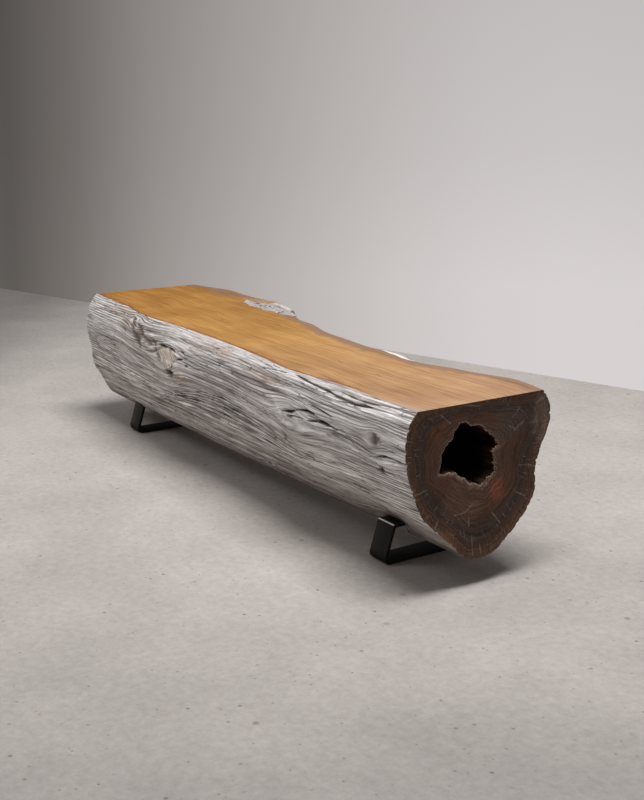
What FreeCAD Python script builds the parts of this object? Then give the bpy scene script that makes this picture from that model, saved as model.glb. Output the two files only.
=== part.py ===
import FreeCAD, Part
import math
import os
import Sketcher
from FreeCAD import Rotation, Vector

# Rustic log bench: a crooked teak log, sawn flat for the seat, notched across its
# belly onto two flat-bar leg frames that lag screws hold from below.
# Millimetres. X runs along the log to the end with the rotten hollow, -Y is the
# front, Z is up from the floor.

doc = FreeCAD.newDocument("log_bench")

# Driving dimensions

sheet = doc.addObject("Spreadsheet::Sheet", "sizes")

driving_sizes = [
    ("log_length", 1900),
    ("half_width", 215),
    ("leg_line_offset", -39.0),
    ("seat_height", 445),
    ("belly_height", 65),
    ("scoop_reach", 185),
    ("scoop_width", 69),
    ("scoop_depth", 17),
    ("scar_reach", 62),
    ("scar_width", 26),
    ("scar_depth", 12),
    ("stub_reach", 42),
    ("stub_width", 18),
    ("stub_rise", 14),
    ("furrow_depth", 5),
    ("hollow_radius", 80),
    ("hollow_depth", 400),
    ("hollow_height", 325),
    ("hollow_offset", 40),
    ("frame_inset", 243),
    ("frame_height", 101),
    ("base_width", 252),
    ("top_width", 188),
    ("bar_width", 65),
    ("bar_thickness", 8),
    ("base_bend_radius", 18),
    ("top_corner_radius", 4),
    ("slot_clearance", 1.5),
    ("shank_radius", 5),
    ("shank_length", 80),
    ("tip_length", 9),
    ("tip_radius", 1.5),
    ("head_across_flats", 17),
    ("head_height", 7),
    ("screw_offset", 45),
    ("wood_clearance", 0.3),
    ("steel_clearance", 0.5),
    ("overrun", 20),
]
for row, (name, value) in enumerate(driving_sizes, start=1):
    sheet.set("A%d" % row, name)
    sheet.set("B%d" % row, str(value))
    sheet.setAlias("B%d" % row, name)
doc.recompute()


def size(name):
    return float(getattr(sheet, name))


# Shape of the raw log

# Each row is a height share of the log's depth, then how far the log's side lies
# from the leg centre line at the near end and at the far end, as shares of the
# half width.
front_side_shares = [
    (1.00, -0.907, -0.614),
    (0.89, -1.028, -0.758),
    (0.78, -1.051, -0.809),
    (0.64, -1.023, -0.800),
    (0.50, -0.940, -0.749),
    (0.36, -0.823, -0.728),
    (0.24, -0.628, -0.600),
    (0.12, -0.372, -0.465),
    (0.03, -0.190, -0.280),
    (0.00, -0.023, 0.000),
]
back_side_shares = [
    (0.03, 0.228, 0.350),
    (0.12, 0.428, 0.630),
    (0.24, 0.637, 0.860),
    (0.36, 0.753, 1.010),
    (0.50, 0.753, 1.130),
    (0.64, 0.823, 1.210),
    (0.78, 0.926, 1.247),
    (0.89, 0.930, 1.220),
    (0.96, 0.870, 1.180),
    (1.00, 0.814, 1.140),
]
# The crown that the saw takes off: place between the edges, height share.
crown_shares = [
    (0.90, 1.09),
    (0.70, 1.17),
    (0.50, 1.20),
    (0.30, 1.17),
    (0.10, 1.09),
]
# Plan of the sawn seat: place along the half length, front edge and back edge as
# shares of the half width.
edge_shares = [
    (-1.000, -0.614, 1.140),
    (-0.905, -0.647, 1.247),
    (-0.800, -0.674, 1.358),
    (-0.684, -0.707, 1.321),
    (-0.568, -0.800, 1.326),
    (-0.463, -0.833, 1.391),
    (-0.368, -0.828, 1.340),
    (-0.268, -0.791, 1.140),
    (-0.168, -0.795, 0.902),
    (-0.042, -0.800, 0.823),
    (0.084, -0.814, 0.674),
    (0.211, -0.851, 0.623),
    (0.337, -0.898, 0.577),
    (0.463, -0.963, 0.605),
    (0.568, -0.930, 0.526),
    (0.674, -0.879, 0.660),
    (0.779, -0.898, 0.781),
    (0.880, -0.912, 0.910),
    (0.945, -0.905, 0.868),
    (1.000, -0.907, 0.814),
]
# Local swellings and dips: place along the half length, reach along it, height
# share, reach up, side and amount, the reaches and amounts as shares.
swelling_shares = [
    (0.744, 0.11, 0.15, 0.08, -1, -0.130),
    (-0.050, 1.10, 0.05, 0.12, -1, 0.110),
    (0.490, 0.14, 0.55, 0.22, -1, 0.055),
    (-0.250, 0.13, 0.62, 0.24, -1, 0.060),
    (0.780, 0.10, 0.45, 0.25, 1, 0.035),
    (0.490, 0.09, 0.95, 0.035, 1, 0.130),
    (-0.400, 0.16, 0.66, 0.26, 1, 0.090),
]
# Corners round the log at each station.
outline_corners = 96
# Rain and sun have cut long furrows: every second corner is pressed in, in lens-shaped
# runs that start at another place on each. They run out towards both sawn ends, and
# the corners next to the front edge stay.
furrow_runs = 2.5
furrow_stagger_share = 0.618
furrow_fade_share = 0.8
first_furrow_corner = 3
# An edge that steps in or out drags the side below it, less and less downwards.
edge_drag_floor_share = 0.20
edge_drag_power_share = 1.5


def blend(far_value, near_value, station_share):
    near_weight = (station_share + 1) / 2
    return far_value + (near_value - far_value) * near_weight


def edge_drag(height_share):
    lift = (height_share - edge_drag_floor_share) / (1 - edge_drag_floor_share)
    return max(lift, 0) ** edge_drag_power_share


def swelling(station_share, height_share, side):
    total = 0
    for place, reach, height, reach_up, swell_side, amount in swelling_shares:
        if swell_side == side:
            along = (station_share - place) / reach
            up = (height_share - height) / reach_up
            total += amount * math.exp(-along * along - up * up)
    return total * side


def side_points(side_shares, side, station_share, edge_share):
    """Points down or up one side of the log at one station."""
    edge_row = max(side_shares)
    edge_shift = edge_share - blend(edge_row[2], edge_row[1], station_share)
    log_depth = size("seat_height") - size("belly_height")
    points = []
    for height_share, near_share, far_share in side_shares:
        share = blend(far_share, near_share, station_share)
        share += edge_shift * edge_drag(height_share)
        share += swelling(station_share, height_share, side)
        points.append(Vector(
            station_share * size("log_length") / 2,
            size("leg_line_offset") + share * size("half_width"),
            size("belly_height") + height_share * log_depth,
        ))
    return points


def log_section(station_share, front_edge_share, back_edge_share):
    front = side_points(front_side_shares, -1, station_share, front_edge_share)
    back = side_points(back_side_shares, 1, station_share, back_edge_share)
    front_edge = front[0]
    back_edge = back[-1]
    log_depth = size("seat_height") - size("belly_height")
    crown = []
    for place_share, height_share in crown_shares:
        crown.append(Vector(
            front_edge.x,
            front_edge.y + place_share * (back_edge.y - front_edge.y),
            size("belly_height") + height_share * log_depth,
        ))
    return front + back + crown


def spacing_round(points):
    """How far round the closed outline each point lies, back to the first."""
    along = [0]
    for number, point in enumerate(points):
        step = point.distanceToPoint(points[(number + 1) % len(points)])
        along.append(along[-1] + step)
    return [value / along[-1] for value in along]


def closed_polygon(corners):
    return Part.makePolygon(corners + corners[:1])


def furrow_share(number, station_share):
    if number < first_furrow_corner or number % 2 == 0:
        return 0
    run = furrow_runs * station_share / 2 + furrow_stagger_share * number
    fade = 1 - furrow_fade_share * station_share ** 2
    return fade * abs(math.sin(math.pi * run))


def weathered(corner, number, station_share):
    """The corner pressed in towards the core where a furrow runs over it."""
    core_height = (size("seat_height") + size("belly_height")) / 2
    core = Vector(corner.x, size("leg_line_offset"), core_height)
    press = size("furrow_depth") * furrow_share(number, station_share)
    return corner + (core - corner).normalize() * press


def smoothed(outlines, station_shares):
    """Each outline as an even polygon on the smooth closed curve through it."""
    spacing = spacing_round(outlines[len(outlines) // 2])
    polygons = []
    for points, station_share in zip(outlines, station_shares):
        curve = Part.BSplineCurve()
        curve.interpolate(Points=points, PeriodicFlag=True, Parameters=spacing)
        polygons.append(closed_polygon([
            weathered(curve.value(number / outline_corners), number, station_share)
            for number in range(outline_corners)
        ]))
    return polygons


def add_loft(name, wires):
    sections = []
    for number, wire in enumerate(wires, start=1):
        section = doc.addObject("Part::Feature", "%s_section_%d" % (name, number))
        section.Shape = wire
        sections.append(section)
    loft = doc.addObject("Part::Loft", name)
    loft.Sections = sections
    loft.Solid = True
    loft.Ruled = True
    return loft


raw_log = add_loft("raw_log", smoothed(
    [log_section(*shares) for shares in edge_shares],
    [shares[0] for shares in edge_shares]))

# Cuts in the log

cutters = []

# The saw takes the crown off and leaves the flat seat.
saw_cut = doc.addObject("Part::Box", "saw_cut")
saw_cut.setExpression("Length", "sizes.log_length + 2 * sizes.overrun")
saw_cut.setExpression("Width", "4 * sizes.half_width")
saw_cut.setExpression("Height", "sizes.seat_height / 2")
saw_cut.setExpression("Placement.Base.x", "-sizes.log_length / 2 - sizes.overrun")
saw_cut.setExpression("Placement.Base.y", "-2 * sizes.half_width")
saw_cut.setExpression("Placement.Base.z", "sizes.seat_height")
cutters.append(saw_cut)


def add_dish(name, slope_share, depth_radius, width_radius):
    """A lens-shaped dip: its rim has the reach and width, its floor the depth."""
    dish = doc.addObject("Part::Ellipsoid", name)
    rim_share = math.sqrt(1 - slope_share * slope_share)
    dish.setExpression(depth_radius, "sizes.%s_depth / %r" % (name, 1 - slope_share))
    dish.setExpression(width_radius, "sizes.%s_width / %r" % (name, rim_share))
    dish.setExpression("Radius2", "sizes.%s_reach / %r" % (name, rim_share))
    return dish


# Beside the burl the saw missed the log, and a weathered dish is left in the seat.
scoop_slope_share = 0.70
scoop = add_dish("scoop", scoop_slope_share, "Radius1", "Radius3")
scoop.setExpression("Placement.Base.x", "-0.368 * sizes.log_length / 2")
scoop.setExpression(
    "Placement.Base.y", "sizes.leg_line_offset + 1.163 * sizes.half_width")
scoop.setExpression(
    "Placement.Base.z",
    "sizes.seat_height + sizes.scoop_depth * %r"
    % (scoop_slope_share / (1 - scoop_slope_share)))
cutters.append(scoop)

# A dead knot has dropped out of the front.
scar_slope_share = 0.40
scar = add_dish("scar", scar_slope_share, "Radius3", "Radius1")
scar.setExpression("Placement.Base.x", "-0.264 * sizes.log_length / 2")
scar.setExpression(
    "Placement.Base.y",
    "sizes.leg_line_offset - 0.975 * sizes.half_width - sizes.scar_depth * %r"
    % (scar_slope_share / (1 - scar_slope_share)))
scar.setExpression(
    "Placement.Base.z",
    "sizes.belly_height + 0.766 * (sizes.seat_height - sizes.belly_height)")
cutters.append(scar)

# The rotten heart opens in the near end and narrows inwards.
hollow_outline_shares = [
    (-0.21, 0.98), (0.30, 0.84), (0.90, 0.38), (0.96, -0.05), (0.90, -0.48),
    (0.62, -0.84), (-0.08, -0.86), (-0.50, -0.52), (-1.02, -0.42), (-1.06, -0.15),
    (-0.90, 0.35), (-0.55, 0.76),
]
# Depth share, width of the hollow there and its rise, as shares.
hollow_taper_shares = [
    (0.00, 1.00, 0.00),
    (0.30, 0.93, 0.03),
    (0.65, 0.83, 0.06),
    (1.00, 0.62, 0.10),
]


def hollow_section(depth_share, width_share, rise_share):
    radius = size("hollow_radius")
    station = size("log_length") / 2 - depth_share * size("hollow_depth")
    corners = [
        Vector(
            station,
            size("leg_line_offset") - size("hollow_offset")
            + side * width_share * radius,
            size("hollow_height") + (up * width_share + rise_share) * radius,
        )
        for side, up in hollow_outline_shares
    ]
    return closed_polygon(corners)


hollow = add_loft(
    "hollow", [hollow_section(*shares) for shares in hollow_taper_shares])
cutters.append(hollow)


def add_slot(name, direction):
    """A notch across the belly that the top bar of one leg frame seats in."""
    slot = doc.addObject("Part::Box", name)
    slot.setExpression("Length", "sizes.bar_width + 2 * sizes.slot_clearance")
    slot.setExpression("Width", "2 * sizes.half_width")
    slot.setExpression("Height", "sizes.frame_height")
    slot.setExpression(
        "Placement.Base.x",
        "%d * (sizes.log_length / 2 - sizes.frame_inset)"
        " - sizes.bar_width / 2 - sizes.slot_clearance" % direction)
    slot.setExpression(
        "Placement.Base.y", "sizes.leg_line_offset - sizes.half_width")
    return slot


def add_pilot_hole(name, direction, side):
    pilot = doc.addObject("Part::Cylinder", name)
    pilot.setExpression("Radius", "sizes.shank_radius + sizes.wood_clearance")
    pilot.setExpression(
        "Height", "sizes.shank_length - sizes.bar_thickness + sizes.wood_clearance")
    pilot.setExpression(
        "Placement.Base.x", "%d * (sizes.log_length / 2 - sizes.frame_inset)" % direction)
    pilot.setExpression(
        "Placement.Base.y", "sizes.leg_line_offset + %d * sizes.screw_offset" % side)
    pilot.setExpression("Placement.Base.z", "sizes.frame_height")
    return pilot


screw_sides = [("front", -1), ("back", 1)]
frame_sides = [("near", 1), ("far", -1)]
for frame_name, direction in frame_sides:
    cutters.append(add_slot(frame_name + "_slot", direction))
    for side_name, side in screw_sides:
        name = "%s_%s_pilot_hole" % (frame_name, side_name)
        cutters.append(add_pilot_hole(name, direction, side))

all_cuts = doc.addObject("Part::MultiFuse", "all_cuts")
all_cuts.Shapes = cutters
cut_log = doc.addObject("Part::Cut", "cut_log")
cut_log.Base = raw_log
cut_log.Tool = all_cuts

# A stub of the dead branch still stands in the scar and leans down along the log.
stub_lean = 38
stub = doc.addObject("Part::Ellipsoid", "branch_stub")
stub.Placement.Rotation = Rotation(Vector(0, 1, 0), stub_lean)
stub.setExpression("Radius1", "sizes.stub_width")
stub.setExpression("Radius2", "sizes.stub_reach")
stub.setExpression("Radius3", "sizes.stub_rise")
stub.setExpression("Placement.Base.x", "-0.272 * sizes.log_length / 2")
stub.setExpression(
    "Placement.Base.y",
    "sizes.leg_line_offset - 0.975 * sizes.half_width + sizes.scar_depth")
stub.setExpression(
    "Placement.Base.z",
    "sizes.belly_height + 0.742 * (sizes.seat_height - sizes.belly_height)")
log_body = doc.addObject("Part::Fuse", "log_body")
log_body.Base = cut_log
log_body.Tool = stub
doc.recompute()


# Leg frames and their fasteners

def origin_feature(body, role):
    return next(
        feature for feature in body.Origin.OriginFeatures if feature.Role == role)


def add_sketch(body, name, role):
    sketch = body.newObject("Sketcher::SketchObject", name)
    sketch.AttachmentSupport = [(origin_feature(body, role), "")]
    sketch.MapMode = "FlatFace"
    return sketch


def bind(sketch, expression, *constraint):
    """Adds a constraint at its present value and ties it to the expression."""
    index = sketch.addConstraint(Sketcher.Constraint(*constraint))
    sketch.setExpression("Constraints[%d]" % index, expression)


def add_polygon(sketch, corners):
    """Lines round the corners, joined end to end; gives the first line's index."""
    first = sketch.GeometryCount
    count = len(corners)
    for number in range(count):
        line = Part.LineSegment(corners[number], corners[(number + 1) % count])
        sketch.addGeometry(line, False)
    for number in range(count):
        sketch.addConstraint(Sketcher.Constraint(
            "Coincident", first + number, 2, first + (number + 1) % count, 1))
    return first


def add_trapezoid(sketch, base_half, top_half, low, high):
    """Lower, right, upper and left line, level and centred on the upright axis."""
    first = add_polygon(sketch, [
        Vector(-base_half, low, 0), Vector(base_half, low, 0),
        Vector(top_half, high, 0), Vector(-top_half, high, 0),
    ])
    for level_line in (first, first + 2):
        sketch.addConstraint(Sketcher.Constraint(
            "Symmetric", level_line, 1, level_line, 2, -2))
    return first


def cross_edges(shape, is_wanted):
    """Names of the edges along X whose middle is wanted."""
    names = []
    for number, edge in enumerate(shape.Edges, start=1):
        box = edge.BoundBox
        if box.XLength > box.YLength + box.ZLength and is_wanted(edge.CenterOfMass):
            names.append("Edge%d" % number)
    return names


def add_fillet(body, name, base, radius, is_wanted):
    fillet = body.newObject("PartDesign::Fillet", name)
    fillet.Base = (base, cross_edges(base.Shape, is_wanted))
    fillet.setExpression("Radius", radius)
    doc.recompute()
    return fillet


def add_leg_frame(frame_name, direction):
    """A flat-bar ring, wider at the floor, bent at its base and mitred on top."""
    body = doc.addObject("PartDesign::Body", frame_name + "_leg_frame")
    body.setExpression(
        "Placement.Base.x", "%d * (sizes.log_length / 2 - sizes.frame_inset)" % direction)
    body.setExpression("Placement.Base.y", "sizes.leg_line_offset")
    thickness = size("bar_thickness")
    base_half = size("base_width") / 2
    top_half = size("top_width") / 2
    height = size("frame_height")

    outline = add_sketch(body, frame_name + "_ring_outline", "YZ_Plane")
    outer = add_trapezoid(outline, base_half, top_half, 0, height)
    inner = add_trapezoid(
        outline, base_half - thickness, top_half - thickness,
        thickness, height - thickness)
    outline.addConstraint(Sketcher.Constraint("PointOnObject", outer, 1, -1))
    bind(outline, "sizes.base_width",
         "DistanceX", outer, 1, outer, 2, 2 * base_half)
    bind(outline, "sizes.top_width",
         "DistanceX", outer + 2, 2, outer + 2, 1, 2 * top_half)
    bind(outline, "sizes.frame_height",
         "DistanceY", outer + 1, 1, outer + 1, 2, height)
    bind(outline, "sizes.bar_thickness",
         "DistanceY", outer, 1, inner, 1, thickness)
    bind(outline, "sizes.bar_thickness",
         "DistanceY", inner + 2, 1, outer + 2, 1, thickness)
    outline.addConstraint(Sketcher.Constraint("Parallel", inner + 1, outer + 1))
    bind(outline, "sizes.bar_thickness",
         "Distance", inner + 1, 1, outer + 1, thickness)

    ring = body.newObject("PartDesign::Pad", frame_name + "_ring")
    ring.Profile = outline
    ring.SideType = "Symmetric"
    ring.setExpression("Length", "sizes.bar_width")
    doc.recompute()

    is_outside_base = lambda middle: middle.z < thickness / 2
    is_inside_base = lambda middle: thickness / 2 < middle.z < thickness * 3 / 2
    is_top = lambda middle: middle.z > height - thickness / 2
    inside_bends = add_fillet(
        body, frame_name + "_inside_bends", ring,
        "sizes.base_bend_radius - sizes.bar_thickness", is_inside_base)
    outside_bends = add_fillet(
        body, frame_name + "_outside_bends", inside_bends,
        "sizes.base_bend_radius", is_outside_base)
    add_fillet(
        body, frame_name + "_top_corners", outside_bends,
        "sizes.top_corner_radius", is_top)

    places = add_sketch(body, frame_name + "_hole_places", "XY_Plane")
    places.setExpression("AttachmentOffset.Base.z", "sizes.frame_height")
    radius = size("shank_radius") + size("steel_clearance")
    for side_name, side in screw_sides:
        place = Vector(0, side * size("screw_offset"), 0)
        circle = places.addGeometry(Part.Circle(place, Vector(0, 0, 1), radius), False)
        bind(places, "sizes.shank_radius + sizes.steel_clearance",
             "Radius", circle, radius)
        places.addConstraint(Sketcher.Constraint("PointOnObject", circle, 3, -2))
        bind(places, "%d * sizes.screw_offset" % side,
             "DistanceY", -1, 1, circle, 3, place.y)
    holes = body.newObject("PartDesign::Pocket", frame_name + "_screw_holes")
    holes.Profile = places
    holes.setExpression("Length", "sizes.bar_thickness")
    body.Tip = holes
    doc.recompute()
    return body


def add_leg_screws():
    """Lag screws driven up through the top bars: hexagon head, plain shank, tip."""
    body = doc.addObject("PartDesign::Body", "leg_screws")
    body.AllowCompound = True
    body.setExpression("Placement.Base.x", "sizes.frame_inset - sizes.log_length / 2")
    body.setExpression(
        "Placement.Base.y", "sizes.leg_line_offset - sizes.screw_offset")
    body.setExpression(
        "Placement.Base.z", "sizes.frame_height - sizes.bar_thickness")
    corner_radius = size("head_across_flats") / math.sqrt(3)
    head_outline = add_sketch(body, "head_outline", "XY_Plane")
    corners = [
        Vector(corner_radius * math.cos(turn), corner_radius * math.sin(turn), 0)
        for turn in (math.radians(60 * number) for number in range(6))
    ]
    first = add_polygon(head_outline, corners)
    rim = head_outline.addGeometry(
        Part.Circle(Vector(0, 0, 0), Vector(0, 0, 1), corner_radius), True)
    head_outline.addConstraint(Sketcher.Constraint("Coincident", rim, 3, -1, 1))
    for number in range(6):
        head_outline.addConstraint(Sketcher.Constraint(
            "PointOnObject", first + number, 1, rim))
    for number in range(1, 6):
        head_outline.addConstraint(Sketcher.Constraint("Equal", first, first + number))
    head_outline.addConstraint(Sketcher.Constraint("PointOnObject", first, 1, -1))
    bind(head_outline, "sizes.head_across_flats / sqrt(3)",
         "Radius", rim, corner_radius)
    head = body.newObject("PartDesign::Pad", "screw_heads")
    head.Profile = head_outline
    head.Reversed = True
    head.setExpression("Length", "sizes.head_height")
    doc.recompute()

    profile = add_sketch(body, "shank_profile", "XZ_Plane")
    radius = size("shank_radius")
    length = size("shank_length")
    shoulder = length - size("tip_length")
    side = add_polygon(profile, [
        Vector(0, 0, 0), Vector(radius, 0, 0), Vector(radius, shoulder, 0),
        Vector(size("tip_radius"), length, 0), Vector(0, length, 0),
    ])
    profile.addConstraint(Sketcher.Constraint("Coincident", side, 1, -1, 1))
    for level_line in (side, side + 3):
        profile.addConstraint(Sketcher.Constraint("Horizontal", level_line))
    for upright_line in (side + 1, side + 4):
        profile.addConstraint(Sketcher.Constraint("Vertical", upright_line))
    bind(profile, "sizes.tip_radius",
         "DistanceX", side + 3, 2, side + 3, 1, size("tip_radius"))
    bind(profile, "sizes.shank_radius", "DistanceX", side, 1, side, 2, radius)
    bind(profile, "sizes.shank_length - sizes.tip_length",
         "DistanceY", side + 1, 1, side + 1, 2, shoulder)
    bind(profile, "sizes.tip_length",
         "DistanceY", side + 2, 1, side + 2, 2, length - shoulder)
    shank = body.newObject("PartDesign::Revolution", "screw_shanks")
    shank.Profile = profile
    shank.ReferenceAxis = (profile, ["V_Axis"])
    shank.Angle = 360
    doc.recompute()

    # The same screw again across each bar and on both frames.
    steps = [
        ("across_bar", "Y_Axis", "2 * sizes.screw_offset"),
        ("on_both_frames", "X_Axis", "sizes.log_length - 2 * sizes.frame_inset"),
    ]
    patterns = []
    for name, axis, spacing in steps:
        pattern = body.newObject("PartDesign::LinearPattern", name)
        pattern.Direction = (origin_feature(body, axis), [""])
        pattern.setExpression("Length", spacing)
        pattern.Occurrences = 2
        patterns.append(pattern)
    grid = body.newObject("PartDesign::MultiTransform", "screw_grid")
    grid.Originals = [head, shank]
    grid.Transformations = patterns
    body.Tip = grid
    doc.recompute()
    return body


pieces = [log_body]
for frame_name, direction in frame_sides:
    pieces.append(add_leg_frame(frame_name, direction))
pieces.append(add_leg_screws())
doc.recompute()

# Every feature has to be sound before anything is written.
for feature in doc.Objects:
    if "Invalid" in feature.State or "Error" in feature.State:
        raise RuntimeError("feature failed: " + feature.Label)
os.makedirs("parts", exist_ok=True)
for piece in pieces:
    if piece.Shape.isNull() or not piece.Shape.isValid():
        raise RuntimeError("bad shape: " + piece.Label)
for piece in pieces:
    piece.Shape.exportStep("parts/%s.step" % piece.Label)
    box = piece.Shape.BoundBox
    print("%-18s solids %d volume %.0f  x %.1f %.1f  y %.1f %.1f  z %.1f %.1f" % (
        piece.Label, len(piece.Shape.Solids), piece.Shape.Volume,
        box.XMin, box.XMax, box.YMin, box.YMax, box.ZMin, box.ZMax))
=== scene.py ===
import math

import bpy
import numpy as np
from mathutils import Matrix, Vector


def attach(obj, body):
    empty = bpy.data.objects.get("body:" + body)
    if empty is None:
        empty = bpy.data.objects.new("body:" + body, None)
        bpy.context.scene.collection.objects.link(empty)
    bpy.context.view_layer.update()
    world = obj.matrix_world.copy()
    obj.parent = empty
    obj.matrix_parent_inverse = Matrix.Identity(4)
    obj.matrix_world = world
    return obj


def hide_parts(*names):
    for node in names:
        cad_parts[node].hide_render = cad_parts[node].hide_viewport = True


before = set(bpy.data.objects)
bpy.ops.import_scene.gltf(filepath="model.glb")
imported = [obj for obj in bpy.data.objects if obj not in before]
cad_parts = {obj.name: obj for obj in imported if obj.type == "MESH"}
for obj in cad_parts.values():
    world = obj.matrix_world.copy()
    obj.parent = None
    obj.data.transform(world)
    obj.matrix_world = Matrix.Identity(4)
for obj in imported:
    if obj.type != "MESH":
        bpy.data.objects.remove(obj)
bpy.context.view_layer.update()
print("packed bench loaded")

view = {"place": (2.9127, -1.7721, 1.1010), "turn": 56.659, "down": 14.2016, "lens": 53.437}

bpy.ops.object.camera_add(
    location=view["place"],
    rotation=(math.radians(90 - view["down"]), 0, math.radians(view["turn"])))
camera = bpy.context.object
camera.data.lens = view["lens"]
bpy.context.scene.camera = camera
bpy.context.scene.view_settings.view_transform = "Standard"


def deselectAll():
    if bpy.context.object and bpy.context.object.mode == "EDIT":
        bpy.ops.object.mode_set(mode="OBJECT")
    bpy.ops.object.select_all(action="DESELECT")


def makeActive(piece):
    deselectAll()
    piece.select_set(True)
    bpy.context.view_layer.objects.active = piece


def applyPlace(piece):
    makeActive(piece)
    bpy.ops.object.transform_apply(location=True, rotation=True, scale=True)


def pickIn(piece, kind, test):
    # select the corners or faces that pass the test, and stay in edit mode
    bpy.ops.object.mode_set(mode="EDIT")
    bpy.ops.mesh.select_mode(type=kind)
    bpy.ops.mesh.select_all(action="DESELECT")
    bpy.ops.object.mode_set(mode="OBJECT")
    for part in piece.data.vertices if kind == "VERT" else piece.data.polygons:
        part.select = test(part)
    bpy.ops.object.mode_set(mode="EDIT")


def vertexPlaces(mesh):
    place = np.zeros(len(mesh.vertices) * 3)
    mesh.vertices.foreach_get("co", place)
    return place.reshape(-1, 3)


def storeValue(mesh, name, values):
    mesh.attributes.new(name, "FLOAT", "POINT").data.foreach_set("value", values.astype(np.float32))


def startMaterial(name):
    material = bpy.data.materials.new(name)
    material.use_nodes = True
    return material, material.node_tree


def setSocket(tree, socket, value):
    # a link where the value is another node's output
    if isinstance(value, bpy.types.NodeSocket):
        tree.links.new(value, socket)
    else:
        socket.default_value = value


def addNode(tree, kind, values=None, **settings):
    node = tree.nodes.new(kind)
    for key, value in settings.items():
        setattr(node, key, value)
    for key, value in (values or {}).items():
        setSocket(tree, node.inputs[key], value)
    return node


def asColour(value):
    # a single number is a grey
    return (*value, 1) if isinstance(value, tuple) else (value, value, value, 1)


def addRamp(tree, source, stops):
    node = addNode(tree, "ShaderNodeValToRGB", {"Fac": source})
    points = node.color_ramp.elements
    for point, (place, colour) in zip(points, (stops[0], stops[-1])):
        point.position = place
        point.color = asColour(colour)
    for place, colour in stops[1:-1]:
        points.new(place).color = asColour(colour)
    return node.outputs["Color"]


def addMath(tree, operation, first, second=0.0, clamp=False):
    return addNode(
        tree, "ShaderNodeMath", {0: first, 1: second}, operation=operation, use_clamp=clamp).outputs[0]


def addVector(tree, operation, first, second=(0, 0, 0)):
    node = addNode(tree, "ShaderNodeVectorMath", {
        0: first, "Scale" if operation == "SCALE" else 1: second}, operation=operation)
    return node.outputs["Value" if operation in ("DOT_PRODUCT", "DISTANCE", "LENGTH") else "Vector"]


def addMap(tree, first, second, third=0.0):
    return addNode(tree, "ShaderNodeCombineXYZ", {"X": first, "Y": second, "Z": third}).outputs[0]


def addNoise(tree, place, scale, detail=2.0, roughness=0.5):
    # the dictionaries below give a noise as its scale, detail and roughness
    return addNode(tree, "ShaderNodeTexNoise", {
        "Vector": place, "Scale": scale, "Detail": detail, "Roughness": roughness}).outputs


def addSum(tree, *terms):
    # each term is a value and its weight
    total = None
    for value, weight in terms:
        part = addMath(tree, "MULTIPLY", value, weight)
        total = part if total is None else addMath(tree, "ADD", total, part)
    return total


def addFade(tree, value, start, width):
    # 0 at the start and 1 a width further on
    return addMath(tree, "DIVIDE", addMath(tree, "SUBTRACT", value, start), width, clamp=True)


def addBelow(tree, value, start, width):
    # 0 at the start and 1 a width lower
    return addFade(tree, value, start, -width)


def addNear(tree, distance, reach):
    # 1 where the distance is nothing, 0 from the reach on
    return addMath(tree, "SUBTRACT", 1.0, addMath(tree, "DIVIDE", distance, reach), clamp=True)


def addOver(tree, value, least, gain):
    # what the value has over its least, times the gain
    return addMath(tree, "MULTIPLY", addMath(tree, "SUBTRACT", value, least, clamp=True), gain, clamp=True)


def addSway(tree, noise, amount):
    # a noise turned into a push to both sides
    return addMath(tree, "MULTIPLY", addMath(tree, "SUBTRACT", noise, 0.5), amount)


def addShare(tree, value, scale):
    # a length as a place on a ramp, with its zero in the ramp's middle
    return addMath(tree, "ADD", addMath(tree, "MULTIPLY", value, scale), 0.5, clamp=True)


def addSpot(tree, place, middle, shrink, sway, gain):
    # 1 inside a soft blot round the middle; shrink is one over its reach on each axis
    away = addVector(tree, "MULTIPLY", addVector(tree, "SUBTRACT", place, middle), shrink)
    far = addVector(tree, "LENGTH", away)
    inside = addMath(tree, "SUBTRACT", 1.0, addMath(tree, "ADD", far, sway), clamp=True)
    return addMath(tree, "MULTIPLY", inside, gain, clamp=True)


def addMix(tree, amount, first, second, blend="MIX"):
    node = addNode(tree, "ShaderNodeMix", data_type="RGBA", blend_type=blend)
    for key, value in (("Factor", amount), ("A", first), ("B", second)):
        if key != "Factor" and not isinstance(value, bpy.types.NodeSocket):
            value = asColour(value)
        setSocket(tree, next(s for s in node.inputs if s.name == key and s.enabled), value)
    return next(s for s in node.outputs if s.enabled)


def addTint(tree, tone, amount, source, stops):
    return addMix(tree, amount, tone, addRamp(tree, source, stops), "MULTIPLY")


def addLaidColour(tree, tone, mask, colour, streaks, share):
    # a colour laid over the tone, with some of the fibres' streaks in it
    return addMix(tree, mask, tone, addMix(tree, share, colour, streaks, "MULTIPLY"))


def finishMaterial(material, form, colour, height, rough=None):
    # the form's bump is a strength and a distance
    tree = material.node_tree
    shader = tree.nodes["Principled BSDF"]
    setSocket(tree, shader.inputs["Base Color"], colour)
    setSocket(tree, shader.inputs["Roughness"], form["rough"] if rough is None else rough)
    shader.inputs["Specular IOR Level"].default_value = form["specular"]
    strength, distance = form["bump"]
    bump = addNode(tree, "ShaderNodeBump", {"Height": height, "Strength": strength, "Distance": distance})
    tree.links.new(bump.outputs["Normal"], shader.inputs["Normal"])
    return material


def grainMap(tree):
    return addNode(tree, "ShaderNodeUVMap", uv_map="grain").outputs["UV"]


def pointValue(tree, name):
    return addNode(tree, "ShaderNodeAttribute", attribute_name=name).outputs["Fac"]


def objectPlace(tree):
    return addNode(tree, "ShaderNodeTexCoord").outputs["Object"]


def axesOf(tree, place):
    return addNode(tree, "ShaderNodeSeparateXYZ", {0: place}).outputs


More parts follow.
